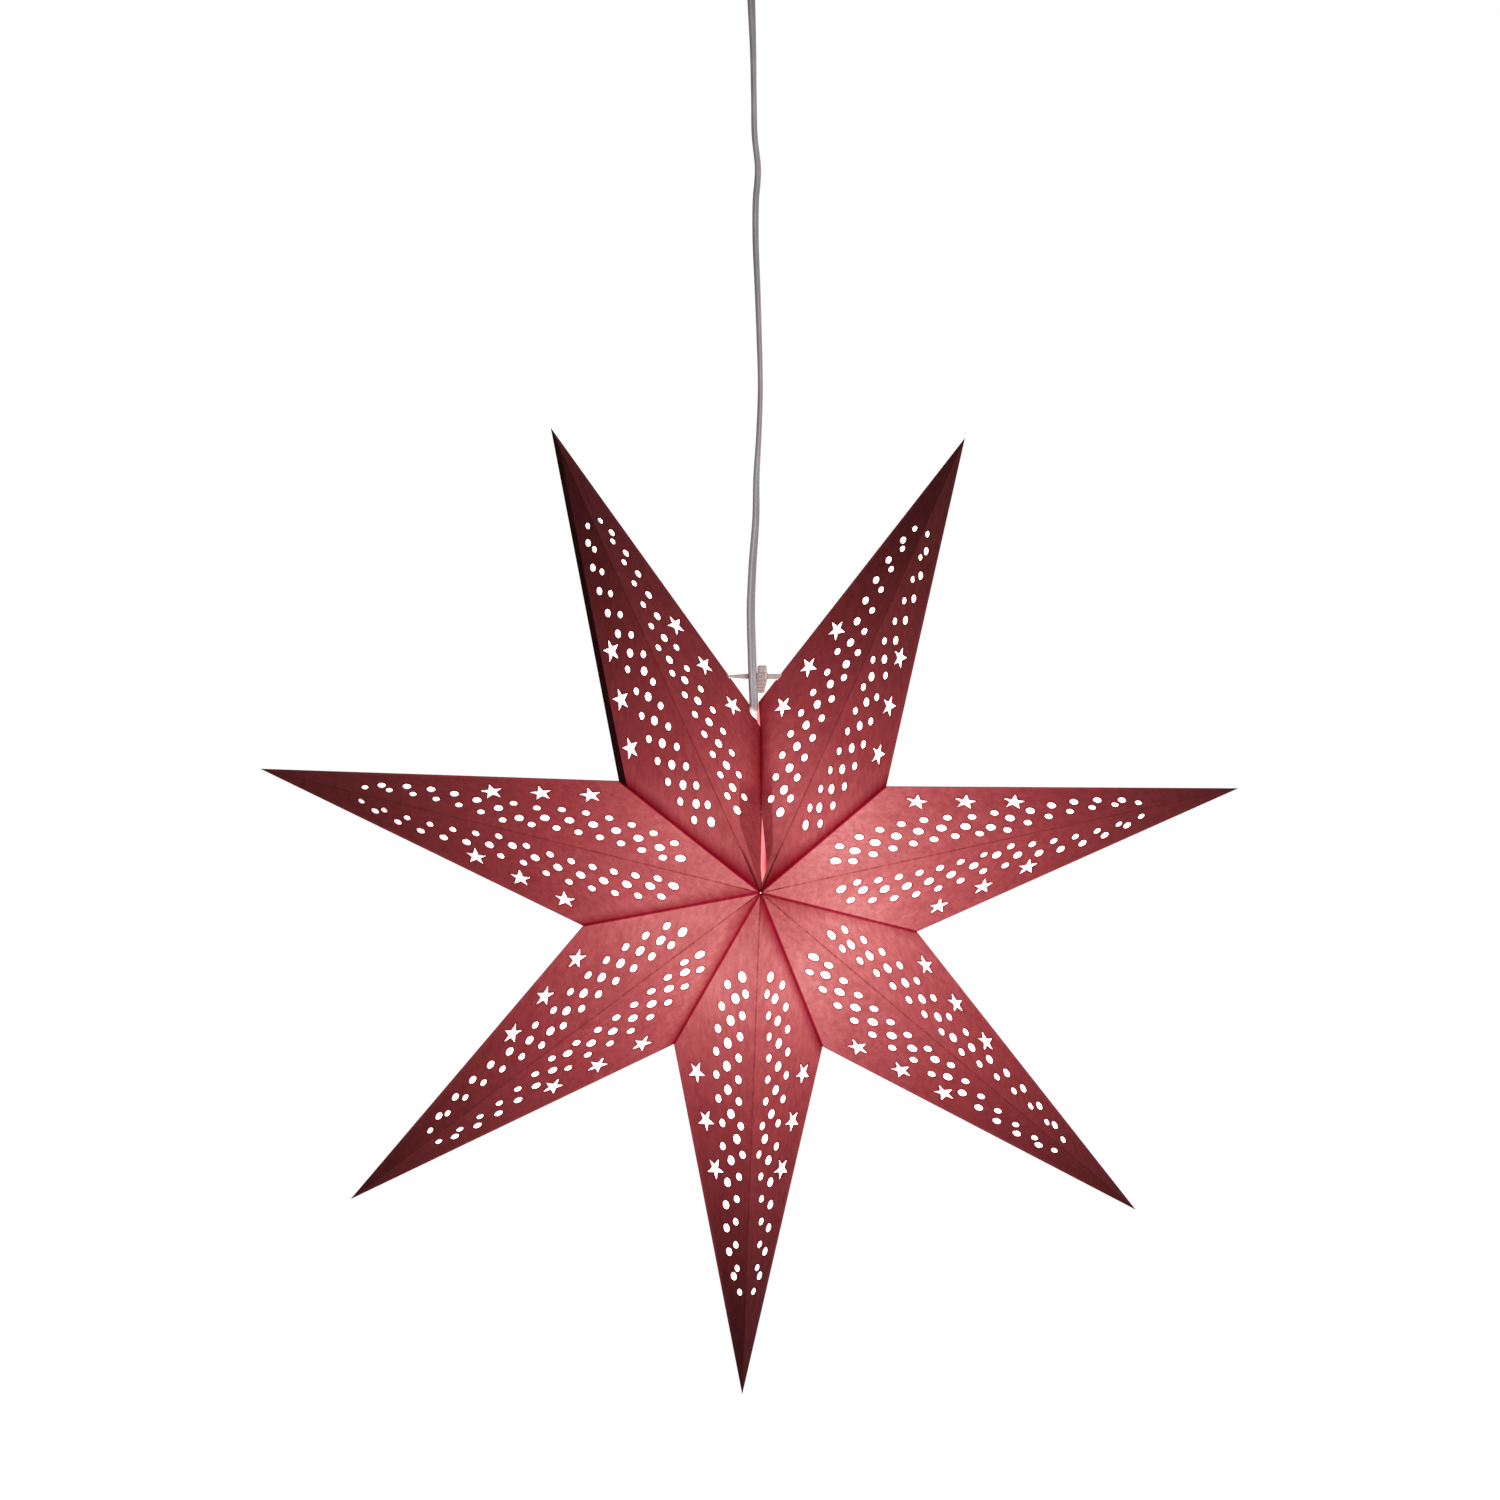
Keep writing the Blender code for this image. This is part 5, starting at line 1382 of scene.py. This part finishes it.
def turned(profile, sides, ring=False, thread=None, flutes=(0, 0.0)):
    """A shape turned about Z: x = r cos t, y = -r sin t, z = h, for a profile of (r, h) down its outer side.

    A thread of (pitch, depth, low, high) adds depth (cos(t + 2 pi h / pitch) - 1) to r between two heights, and flutes
    of (count, depth) take depth cos(count t) away from the outer side.
    """
    turns = 2 * np.pi * np.arange(sides) / sides
    radius = np.repeat(profile[:, :1], sides, axis=1)
    height = np.repeat(profile[:, 1:], sides, axis=1)
    if thread:
        pitch, depth, low, high = thread
        fade = np.clip(np.minimum(height - low, high - height) / pitch, 0, 1)
        radius = radius + depth * fade * (np.cos(turns + 2 * np.pi * height / pitch) - 1)
    count, depth = flutes
    radius = radius - depth * (0.5 - 0.5 * np.cos(count * turns))
    places = np.stack((radius * np.cos(turns), -radius * np.sin(turns), height), axis=-1)
    return tube_faces(places, ring)


def turned_piece(name, profile, sides, finish, body, slot, node, degrees=40, **how):
    closed_piece(name, [turned(np.array(profile), sides, **how)], finish, body, node, degrees)


def rounded(corners, radius, ring=False, steps=6):
    """A line whose corners are curves (1-t)^2 a + 2t(1-t) corner + t^2 b, with a and b a radius from each corner."""
    corners = np.array(corners, float)
    into, out = corners - np.roll(corners, 1, axis=0), np.roll(corners, -1, axis=0) - corners
    reach = np.minimum(radius, 0.45 * np.minimum(np.linalg.norm(into, axis=1), np.linalg.norm(out, axis=1)))[:, None]
    start, end = (corners - unit(into) * reach)[:, None], (corners + unit(out) * reach)[:, None]
    t = np.linspace(0, 1, steps)[None, :, None]
    curve = (1 - t) ** 2 * start + 2 * t * (1 - t) * corners[:, None] + t**2 * end
    if ring:
        return curve.reshape(-1, 2)
    return np.vstack((corners[:1], curve[1:-1].reshape(-1, 2), corners[-1:]))


def flowing(points, step=0.0008):
    """A smooth profile through points of (r, h)."""
    places = np.insert(np.array(points, float), 1, 0.0, axis=1)
    return smooth_path(places, step)[:, (0, 2)]


def walled(profile, wall):
    """A profile down its outer side, then back up its inner side, moved in by the wall along the profile's normals."""
    along = unit(np.gradient(profile, axis=0))
    inner = profile - wall * np.column_stack((-along[:, 1], along[:, 0]))
    return np.vstack((profile, inner[::-1]))


def radius_top_foot(node):
    low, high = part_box(node)
    return high.x, high.z, low.z


def moulded(name, tint, roughness=0.4):
    """Moulded plastic: a faint drift in colour and gloss, with a fine grain."""
    made = Shading(name)
    drift = made.ease(made.noise(110.0, 3.0), 0.3, 0.7)
    made.set("Base Color", made.blend(drift, scaled(tint, 0.94), tint))
    made.set("Roughness", made.ease(made.noise(260.0, 2.0), 0.3, 0.7, roughness - 0.06, roughness + 0.08))
    made.bump(made.noise(1500.0, 2.0), 0.00004, 0.5)
    return made.material


def metal(name, tint, roughness=0.3):
    """Turned metal: fine streaks round the Z axis in its gloss, and a faint tarnish."""
    made = Shading(name, metallic=1.0)
    streaks = made.noise(900.0, 3.0, stretch=(0.15, 0.15, 1.0))
    tarnish = made.ease(made.noise(190.0, 4.0), 0.45, 0.75)
    made.set("Base Color", made.blend(tarnish, tint, scaled(tint, 0.72)))
    made.set("Roughness", made.ease(streaks, 0.3, 0.7, roughness - 0.08, roughness + 0.12))
    made.bump(streaks, 0.00003, 0.4)
    return made.material


def opal_diffuser(lamp):
    """Lit opal plastic, a little dimmer towards its neck."""
    made = Shading("opal_diffuser", roughness=0.35)
    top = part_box("bulb_globe")[1].z
    drop = made.dot(made.coordinates, (0.0, 0.0, -1.0), top)
    share_down = made.ease(drop, 0.0, 0.016)
    bright = lamp.light
    made.set("Base Color", made.blend(made.noise(60.0, 2.0), (0.90, 0.88, 0.83), (0.94, 0.92, 0.88)))
    made.shine(made.blend(share_down, scaled(bright, 0.7), bright))
    return made.material


def finish_nodes(finish, *nodes):
    """Give CAD nodes that stay a procedural material."""
    for name in nodes:
        slots = frame["nodes"][name].material_slots
        if not slots:
            raise RuntimeError(f"{name} has no material slot")
        for one in slots:
            one.material = finish


class LANTERN_OT_lampholder(bpy.types.Operator):
    """Lampholder: cap with its collar, body, and the threaded shell inside"""

    bl_idname = "lantern.lampholder"
    bl_label = "Lampholder"

    def execute(self, context):
        lamp = context.scene.lantern_lamp
        white = moulded("white_plastic_holder", lamp.white)
        brass = metal("brass_contacts", lamp.brass)
        radius, top, foot = radius_top_foot("holder_cap")
        shoulder = top - lamp.collar_height
        slope = shoulder - foot
        neck = [(0.5 * lamp.collar_radius, top), (lamp.collar_radius, top), (lamp.collar_radius, shoulder)]
        flare = [
            ((lamp.collar_radius + radius) / 2, shoulder - 0.13 * slope),
            (0.94 * radius, shoulder - 0.5 * slope),
            (radius, foot),
            (0.5 * radius, foot),
        ]
        profile = rounded(neck + flare, 0.0016)
        turned_piece("lampholder_cap", profile, lamp.sides, white, "pendant", "white_plastic", "holder_cap")

        radius, top, mouth = radius_top_foot("holder_body")
        grip = radius - lamp.groove
        rows = np.linspace(top - 0.004, top - 0.016, 13)
        outer = [(radius, top)] + [(radius if k % 2 == 0 else grip, row) for k, row in enumerate(rows)]
        outer += [(radius, (top + mouth) / 2), (0.94 * radius, mouth)]
        inner = [(0.94 * radius - lamp.wall, mouth), (radius - lamp.wall, (top + mouth) / 2), (radius - lamp.wall, top)]
        profile = rounded(outer + inner, 0.0005, ring=True, steps=4)
        turned_piece(
            "lampholder_body", profile, lamp.sides, white, "pendant", "white_plastic", "holder_body", ring=True
        )

        radius, top, foot = radius_top_foot("holder_shell")
        rows = np.linspace(top, foot, 70)
        profile = walled(np.column_stack((np.full(70, radius), rows)), lamp.shell_wall)
        thread = (lamp.thread_pitch, lamp.thread_depth / 2, foot, top)
        turned_piece(
            "lampholder_shell", profile, lamp.sides, brass, "pendant", "brass", "holder_shell", ring=True, thread=thread
        )
        finish_nodes(white, "holder_insert")
        finish_nodes(brass, "centre_contact")
        return {"FINISHED"}


class LANTERN_OT_bulb(bpy.types.Operator):
    """Bulb: threaded cap, flaring housing and opal globe"""

    bl_idname = "lantern.bulb"
    bl_label = "Bulb"

    def execute(self, context):
        lamp = context.scene.lantern_lamp
        white = moulded("white_plastic_bulb", lamp.white)
        nickel = metal("nickel_cap", lamp.nickel, 0.26)
        radius, top, foot = radius_top_foot("bulb_cap")
        shoulder = 0.74 * radius
        rows = np.linspace(top - 0.003, foot + 0.002, 70)
        profile = [(0.4 * radius, top), (shoulder, top), (radius, top - (radius - shoulder))]
        profile += [(radius, row) for row in rows] + [(radius, foot), (0.4 * radius, foot)]
        thread = (lamp.thread_pitch, lamp.thread_depth, foot + 0.002, top - 0.002)
        turned_piece("bulb_screw_cap", profile, lamp.sides, nickel, "bulb", "nickel", "bulb_cap", thread=thread)

        radius, top, foot = radius_top_foot("bulb_housing")
        neck = 0.55 * radius
        size = top - foot
        flare = [(neck, top), (neck, top - size / 4), (0.80 * radius, foot + 0.45 * size), (radius, foot + size / 8)]
        profile = np.vstack(((0.5 * neck, top), flowing(flare), (radius, foot), (0.5 * neck, foot)))
        turned_piece("bulb_base", profile, lamp.sides, white, "bulb", "white_plastic", "bulb_housing", 50)

        radius, top, foot = radius_top_foot("bulb_globe")
        middle = foot + radius
        rim_turn = math.acos((top - middle) / radius)
        turns = np.linspace(rim_turn, math.pi - 0.02, 48)
        curve = np.column_stack((np.sin(turns), np.cos(turns)))
        profile = np.vstack((curve[::-1] * (radius - lamp.globe_wall), curve * radius)) + (0.0, middle)
        opal = opal_diffuser(lamp)
        turned_piece("bulb_diffuser", profile, lamp.sides, opal, "bulb", "opal_plastic", "bulb_globe", 60)
        finish_nodes(nickel, "bulb_tip")
        finish_nodes(moulded("black_glass", (0.02, 0.02, 0.022), 0.16), "bulb_insulator")
        finish_nodes(metal("aluminium_board", (0.78, 0.78, 0.79), 0.4), "led_board")
        return {"FINISHED"}


def tube(path, radius, wide, sides=20):
    """A round tube along a path, with its ends rounded over by quarter circles."""
    walked = way_along(path)
    from_end = np.minimum(walked, walked[-1] - walked)
    rounding = np.sqrt(1 - np.clip(1 - from_end / radius, 0, 0.97) ** 2)
    profile = circle(sides) * (radius * rounding)[:, None, None]
    return swept(path, np.tile(wide, (len(path), 1)), profile)


def block(low, high, radius):
    """A box with rounded edges: level outlines, drawn in at both ends by quarter circles."""
    low, high = np.array(low), np.array(high)
    turn = np.radians((75, 50, 25, 0))
    inset, drop = radius * (1 - np.cos(turn)), radius * (1 - np.sin(turn))
    heights = np.concatenate((high[2] - drop, low[2] + drop[::-1]))
    insets = np.concatenate((inset, inset[::-1]))
    arc = np.radians(np.linspace(0, 90, 6))
    quarter = np.concatenate([arc + quarter_turn for quarter_turn in np.radians((0, 90, 180, 270))])
    signs = np.repeat(((1, 1), (-1, 1), (-1, -1), (1, -1)), 6, axis=0)
    half = (high[:2] - low[:2]) / 2
    middle = (high[:2] + low[:2]) / 2
    outline = (
        signs * (half - radius)
        + (radius - insets)[:, None, None] * np.column_stack((np.cos(quarter), np.sin(quarter)))[None]
    ) * (1.0, -1.0)
    places = np.dstack((outline + middle, np.repeat(heights[:, None], 24, axis=1)))
    return tube_faces(places)


def slotted_rod(name, node, axis, turn=0.5):
    """A screw along an axis: a disc x = a sqrt(1 - b^2/2), y = b sqrt(1 - a^2/2), pressed in at its slot."""
    low, high = box_arrays(node)
    direction = np.array(axis, float)
    depth = abs((high - low) @ direction)
    radius = np.sort(high - low)[1] / 2
    slot, steep, slot_depth = 0.17, 0.03, 0.35 * radius
    a = np.array((-1, -0.85, -0.6, -0.38, -slot - steep, -slot, 0, slot, slot + steep, 0.38, 0.6, 0.85, 1))
    b = np.linspace(-1, 1, 17)
    a, b = np.meshgrid(a, b, indexing="ij")
    flat = np.column_stack(((a * np.sqrt(1 - b**2 / 2)).ravel(), (b * np.sqrt(1 - a**2 / 2)).ravel()))
    across = np.cross(direction, (0.0, 0.0, 1.0))
    up = np.cross(across, direction) * math.cos(turn) + across * math.sin(turn)
    side = np.cross(direction, up)
    rim = (flat**2).sum(axis=1)
    press = np.where(np.abs(a.ravel()) <= slot + 1e-6, slot_depth, 0.0) + 0.12 * radius * rim**4
    face = (low + high) / 2 + direction * depth / 2
    places = face + radius * (flat[:, :1] * side + flat[:, 1:] * up) - press[:, None] * direction
    part = sheet_part(places, flat, grid_triangles(13, 17), direction)
    return shell_mesh(name, [part], depth, {})


def ceiling_disc(ceiling):
    """The plate: a disc with a screw slot in front and behind and a round hole for the mains cable."""
    radius, top, foot = radius_top_foot("ceiling_plate")
    edge = circle(ceiling.sides)
    stretch = np.sign(edge) * (0.0, (ceiling.slot_length - ceiling.slot_width) / 2)
    slot = edge * ceiling.slot_width / 2 + stretch
    holes = [slot + (0.0, side * ceiling.slot_offset) for side in (-1, 1)]
    holes.append(edge * ceiling.mains_hole / 2 - (ceiling.mains_offset, 0.0))
    flat, triangles, _ = triangulated(edge * radius, holes, [], np.zeros((0, 2)))
    places = np.column_stack((flat, np.full(len(flat), top)))
    return shell_mesh("plate_disc", [sheet_part(places, flat, triangles, np.array((0.0, 0.0, 1.0)))], top - foot, {})


class LANTERN_OT_ceiling(bpy.types.Operator):
    """Ceiling cup and its cord grip, plate, hook, cord anchor, terminal block, leads and screws"""

    bl_idname = "lantern.ceiling"
    bl_label = "Ceiling fittings"

    def execute(self, context):
        ceiling = context.scene.lantern_ceiling
        cord = context.scene.lantern_cord
        sides = ceiling.sides
        white = moulded("white_plastic_cup", ceiling.white)
        nylon = moulded("white_nylon", ceiling.white, 0.5)
        steel = metal("zinc_steel", ceiling.steel)
        brass = metal("brass_screws", ceiling.brass)

        radius, rim, foot = radius_top_foot("ceiling_cup")
        height = rim - foot
        way = zip(ceiling.cup_radius_shares, ceiling.cup_height_shares)
        outer = flowing([(radius * across, rim - height * down) for across, down in way])
        hole = radius_top_foot("cup_grip")[0] - ceiling.grip_ledge
        profile = walled(np.vstack((outer, (hole, foot))), ceiling.cup_wall)
        closed_piece("cup_shell", [turned(profile, sides, ring=True)], white, "cup", "ceiling_cup", 35)

        flange, top, low = radius_top_foot("cup_grip")
        bore = cord.width / 2 + ceiling.gap
        neck = hole - ceiling.gap
        ledge = foot + ceiling.cup_wall + ceiling.gap
        corners = [(bore, top), (flange, top), (flange, ledge), (neck, ledge), (neck, low), (bore, low)]
        profile = rounded(corners, 0.0005, ring=True, steps=4)
        flutes = (24, 0.00016)
        turned_piece(
            "cord_grip", profile, sides, nylon, "cup", "white_plastic", "cup_grip", ring=True, flutes=flutes
        )

        hook_low, hook_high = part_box("ceiling_hook")
        wire = hook_high.x
        bend = hook_high.y - wire
        middle = hook_low.z + wire + bend
        turns = np.linspace(0, math.pi, 30)
        arc = np.column_stack((0 * turns, np.cos(turns) * bend, middle - np.sin(turns) * bend))
        shank = np.linspace(hook_high.z, middle, 40)[:-1]
        shaft = np.column_stack((0 * shank, 0 * shank + bend, shank))
        path = smooth_path(np.vstack((shaft, arc, (0.0, -bend, middle + ceiling.hook_tip))), 0.0004)
        closed_piece("hook_wire", [tube(path, wire, (1.0, 0.0, 0.0))], steel, "ceiling", "ceiling_hook", 60)

        low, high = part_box("cord_anchor")
        eye_middle = high.z - ceiling.eye_radius - ceiling.eye_wire / 2
        block_top = eye_middle - ceiling.eye_radius + ceiling.eye_wire / 4
        large, small = circle(48)[:, None], circle(16) * ceiling.eye_wire / 2
        reach = (ceiling.eye_radius + small[:, 0])[..., None] * large + (0.0, eye_middle)
        eye = tube_faces(np.insert(reach, 1, small[:, 1], axis=2), ring=True)
        anchor = block(low, (high.x, high.y, block_top), 0.0012)
        closed_piece("anchor_block", [anchor, eye], nylon, "ceiling", "cord_anchor", 50)

        low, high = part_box("terminal_block")
        terminal = block(low, high, 0.0009)
        closed_piece("terminal_body", [terminal], nylon, "ceiling", "terminal_block", 50)
        for place in ("front", "back"):
            low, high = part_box("core_lead_" + place)
            thick = (high.y - low.y) / 2
            turns = np.linspace(0, math.pi / 2, 40)
            x = low.x + (high.x - thick - low.x) * np.sin(turns)
            z = low.z + thick + (high.z - low.z - thick) * (1 - np.cos(turns))
            path = np.column_stack((x, np.full(40, (low.y + high.y) / 2), z))
            core = moulded("core_sheath_" + place, ceiling.core_front if place == "front" else ceiling.core_back)
            lead = tube(path, thick, (0.0, 1.0, 0.0))
            closed_piece("core_" + place, [lead], core, "ceiling", "core_lead_" + place, 60)

        mesh = ceiling_disc(ceiling)
        piece("plate_disc", mesh, [white] * 3, "ceiling", ["ceiling_plate"])
        front, right = (0.0, -1.0, 0.0), (1.0, 0.0, 0.0)
        screws = {"anchor_screw_upper": front, "anchor_screw_lower": front}
        rows, columns = ("upper", "lower"), ("left", "right")
        screws |= {f"terminal_screw_{row}_{column}": front for row in rows for column in columns}
        for k, (node, axis) in enumerate(screws.items()):
            mesh = slotted_rod(node + "_head", node, axis, turn=0.4 + 0.9 * k)
            piece(node + "_head", mesh, [brass] * 3, "ceiling", [node])
        for node, body in (("grip_screw", "cup"), ("collar_screw", "pendant")):
            mesh = slotted_rod(node + "_head", node, right, turn=0.8)
            piece(node + "_head", mesh, [nylon] * 3, body, [node])
        return {"FINISHED"}


def stage_floor(stage):
    """A pale matt floor that keeps the object's shadow and looks white to the camera."""
    made = Shading("pale_floor", roughness=0.9, specular_ior_level=0.1)
    speckle = made.noise(3.0, 2.0)
    made.set("Base Color", made.blend(speckle, (0.84, 0.84, 0.84), (0.88, 0.88, 0.88)))
    made.set("Emission Color", (1.0, 1.0, 1.0))
    made.set("Emission Strength", made.times(made.seen_directly(), 0.84))
    return made.material


class LANTERN_OT_stage(bpy.types.Operator):
    """White surroundings, a pale floor far below, and soft light from the right"""

    bl_idname = "lantern.stage"
    bl_label = "Stage"

    def execute(self, context):
        stage = context.scene.lantern_stage
        context.scene.view_settings.view_transform = "Standard"
        world = bpy.data.worlds.new("white_room")
        world.use_nodes = True
        context.scene.world = world
        room = Nodes(world.node_tree)
        strength = room.math("MULTIPLY_ADD", room.seen_directly(), 1.0 - stage.sky, stage.sky)
        background = room.tree.nodes["Background"]
        background.inputs["Color"].default_value = (1.0, 1.0, 1.0, 1.0)
        room.plug(background.inputs["Strength"], strength)

        half = 6.0
        corners = np.array(((-half, -half), (half, -half), (half, half), (-half, half)))
        places = np.column_stack((corners, np.full(4, -stage.floor_drop)))
        floor = bpy.data.objects.new("floor", new_mesh("floor", places, [np.array(((0, 1, 2, 3),))]))
        context.scene.collection.objects.link(floor)
        floor.data.materials.append(stage_floor(stage))

        data = bpy.data.lights.new("key_light", "AREA")
        data.size = stage.key_size
        data.energy = stage.key_power
        light = bpy.data.objects.new("key_light", data)
        context.scene.collection.objects.link(light)
        light.location = stage.key_place
        towards = Vector((0.0, 0.0, -star_drop)) - light.location
        light.rotation_euler = towards.to_track_quat("-Z", "Y").to_euler()
        return {"FINISHED"}


property_groups = {
    "lantern_paper": PaperSizes,
    "lantern_pattern": PatternSizes,
    "lantern_glow": GlowLook,
    "lantern_cord": CordSizes,
    "lantern_clip": ClipSizes,
    "lantern_lamp": LampLook,
    "lantern_ceiling": CeilingSizes,
    "lantern_stage": StageLook,
}
operators = (
    LANTERN_OT_camera,
    LANTERN_OT_cord,
    LANTERN_OT_paper,
    LANTERN_OT_clip,
    LANTERN_OT_lampholder,
    LANTERN_OT_bulb,
    LANTERN_OT_ceiling,
    LANTERN_OT_stage,
)


class LANTERN_PT_panel(bpy.types.Panel):
    """Sizes, colours and build steps of the lantern"""

    bl_idname = "LANTERN_PT_panel"
    bl_label = "Paper Star Lantern"
    bl_space_type = "VIEW_3D"
    bl_region_type = "UI"
    bl_category = "Lantern"

    def draw(self, context):
        for key, group in property_groups.items():
            box = self.layout.box()
            box.label(text=group.__doc__)
            for name in group.__annotations__:
                box.prop(getattr(context.scene, key), name, text=name.replace("_", " ").capitalize())
        for operator in operators:
            self.layout.operator(operator.bl_idname)


classes = (*property_groups.values(), *operators, LANTERN_PT_panel)


def register():
    for item in classes:
        bpy.utils.register_class(item)
    for key, group in property_groups.items():
        setattr(bpy.types.Scene, key, PointerProperty(type=group))


def unregister():
    for key in property_groups:
        delattr(bpy.types.Scene, key)
    for item in reversed(classes):
        bpy.utils.unregister_class(item)


def main():
    register()
    bpy.ops.lantern.camera()
    bpy.ops.lantern.cord()
    bpy.ops.lantern.paper()
    bpy.ops.lantern.clip()
    bpy.ops.lantern.lampholder()
    bpy.ops.lantern.bulb()
    bpy.ops.lantern.ceiling()
    bpy.ops.lantern.stage()


if __name__ == "__main__":
    main()
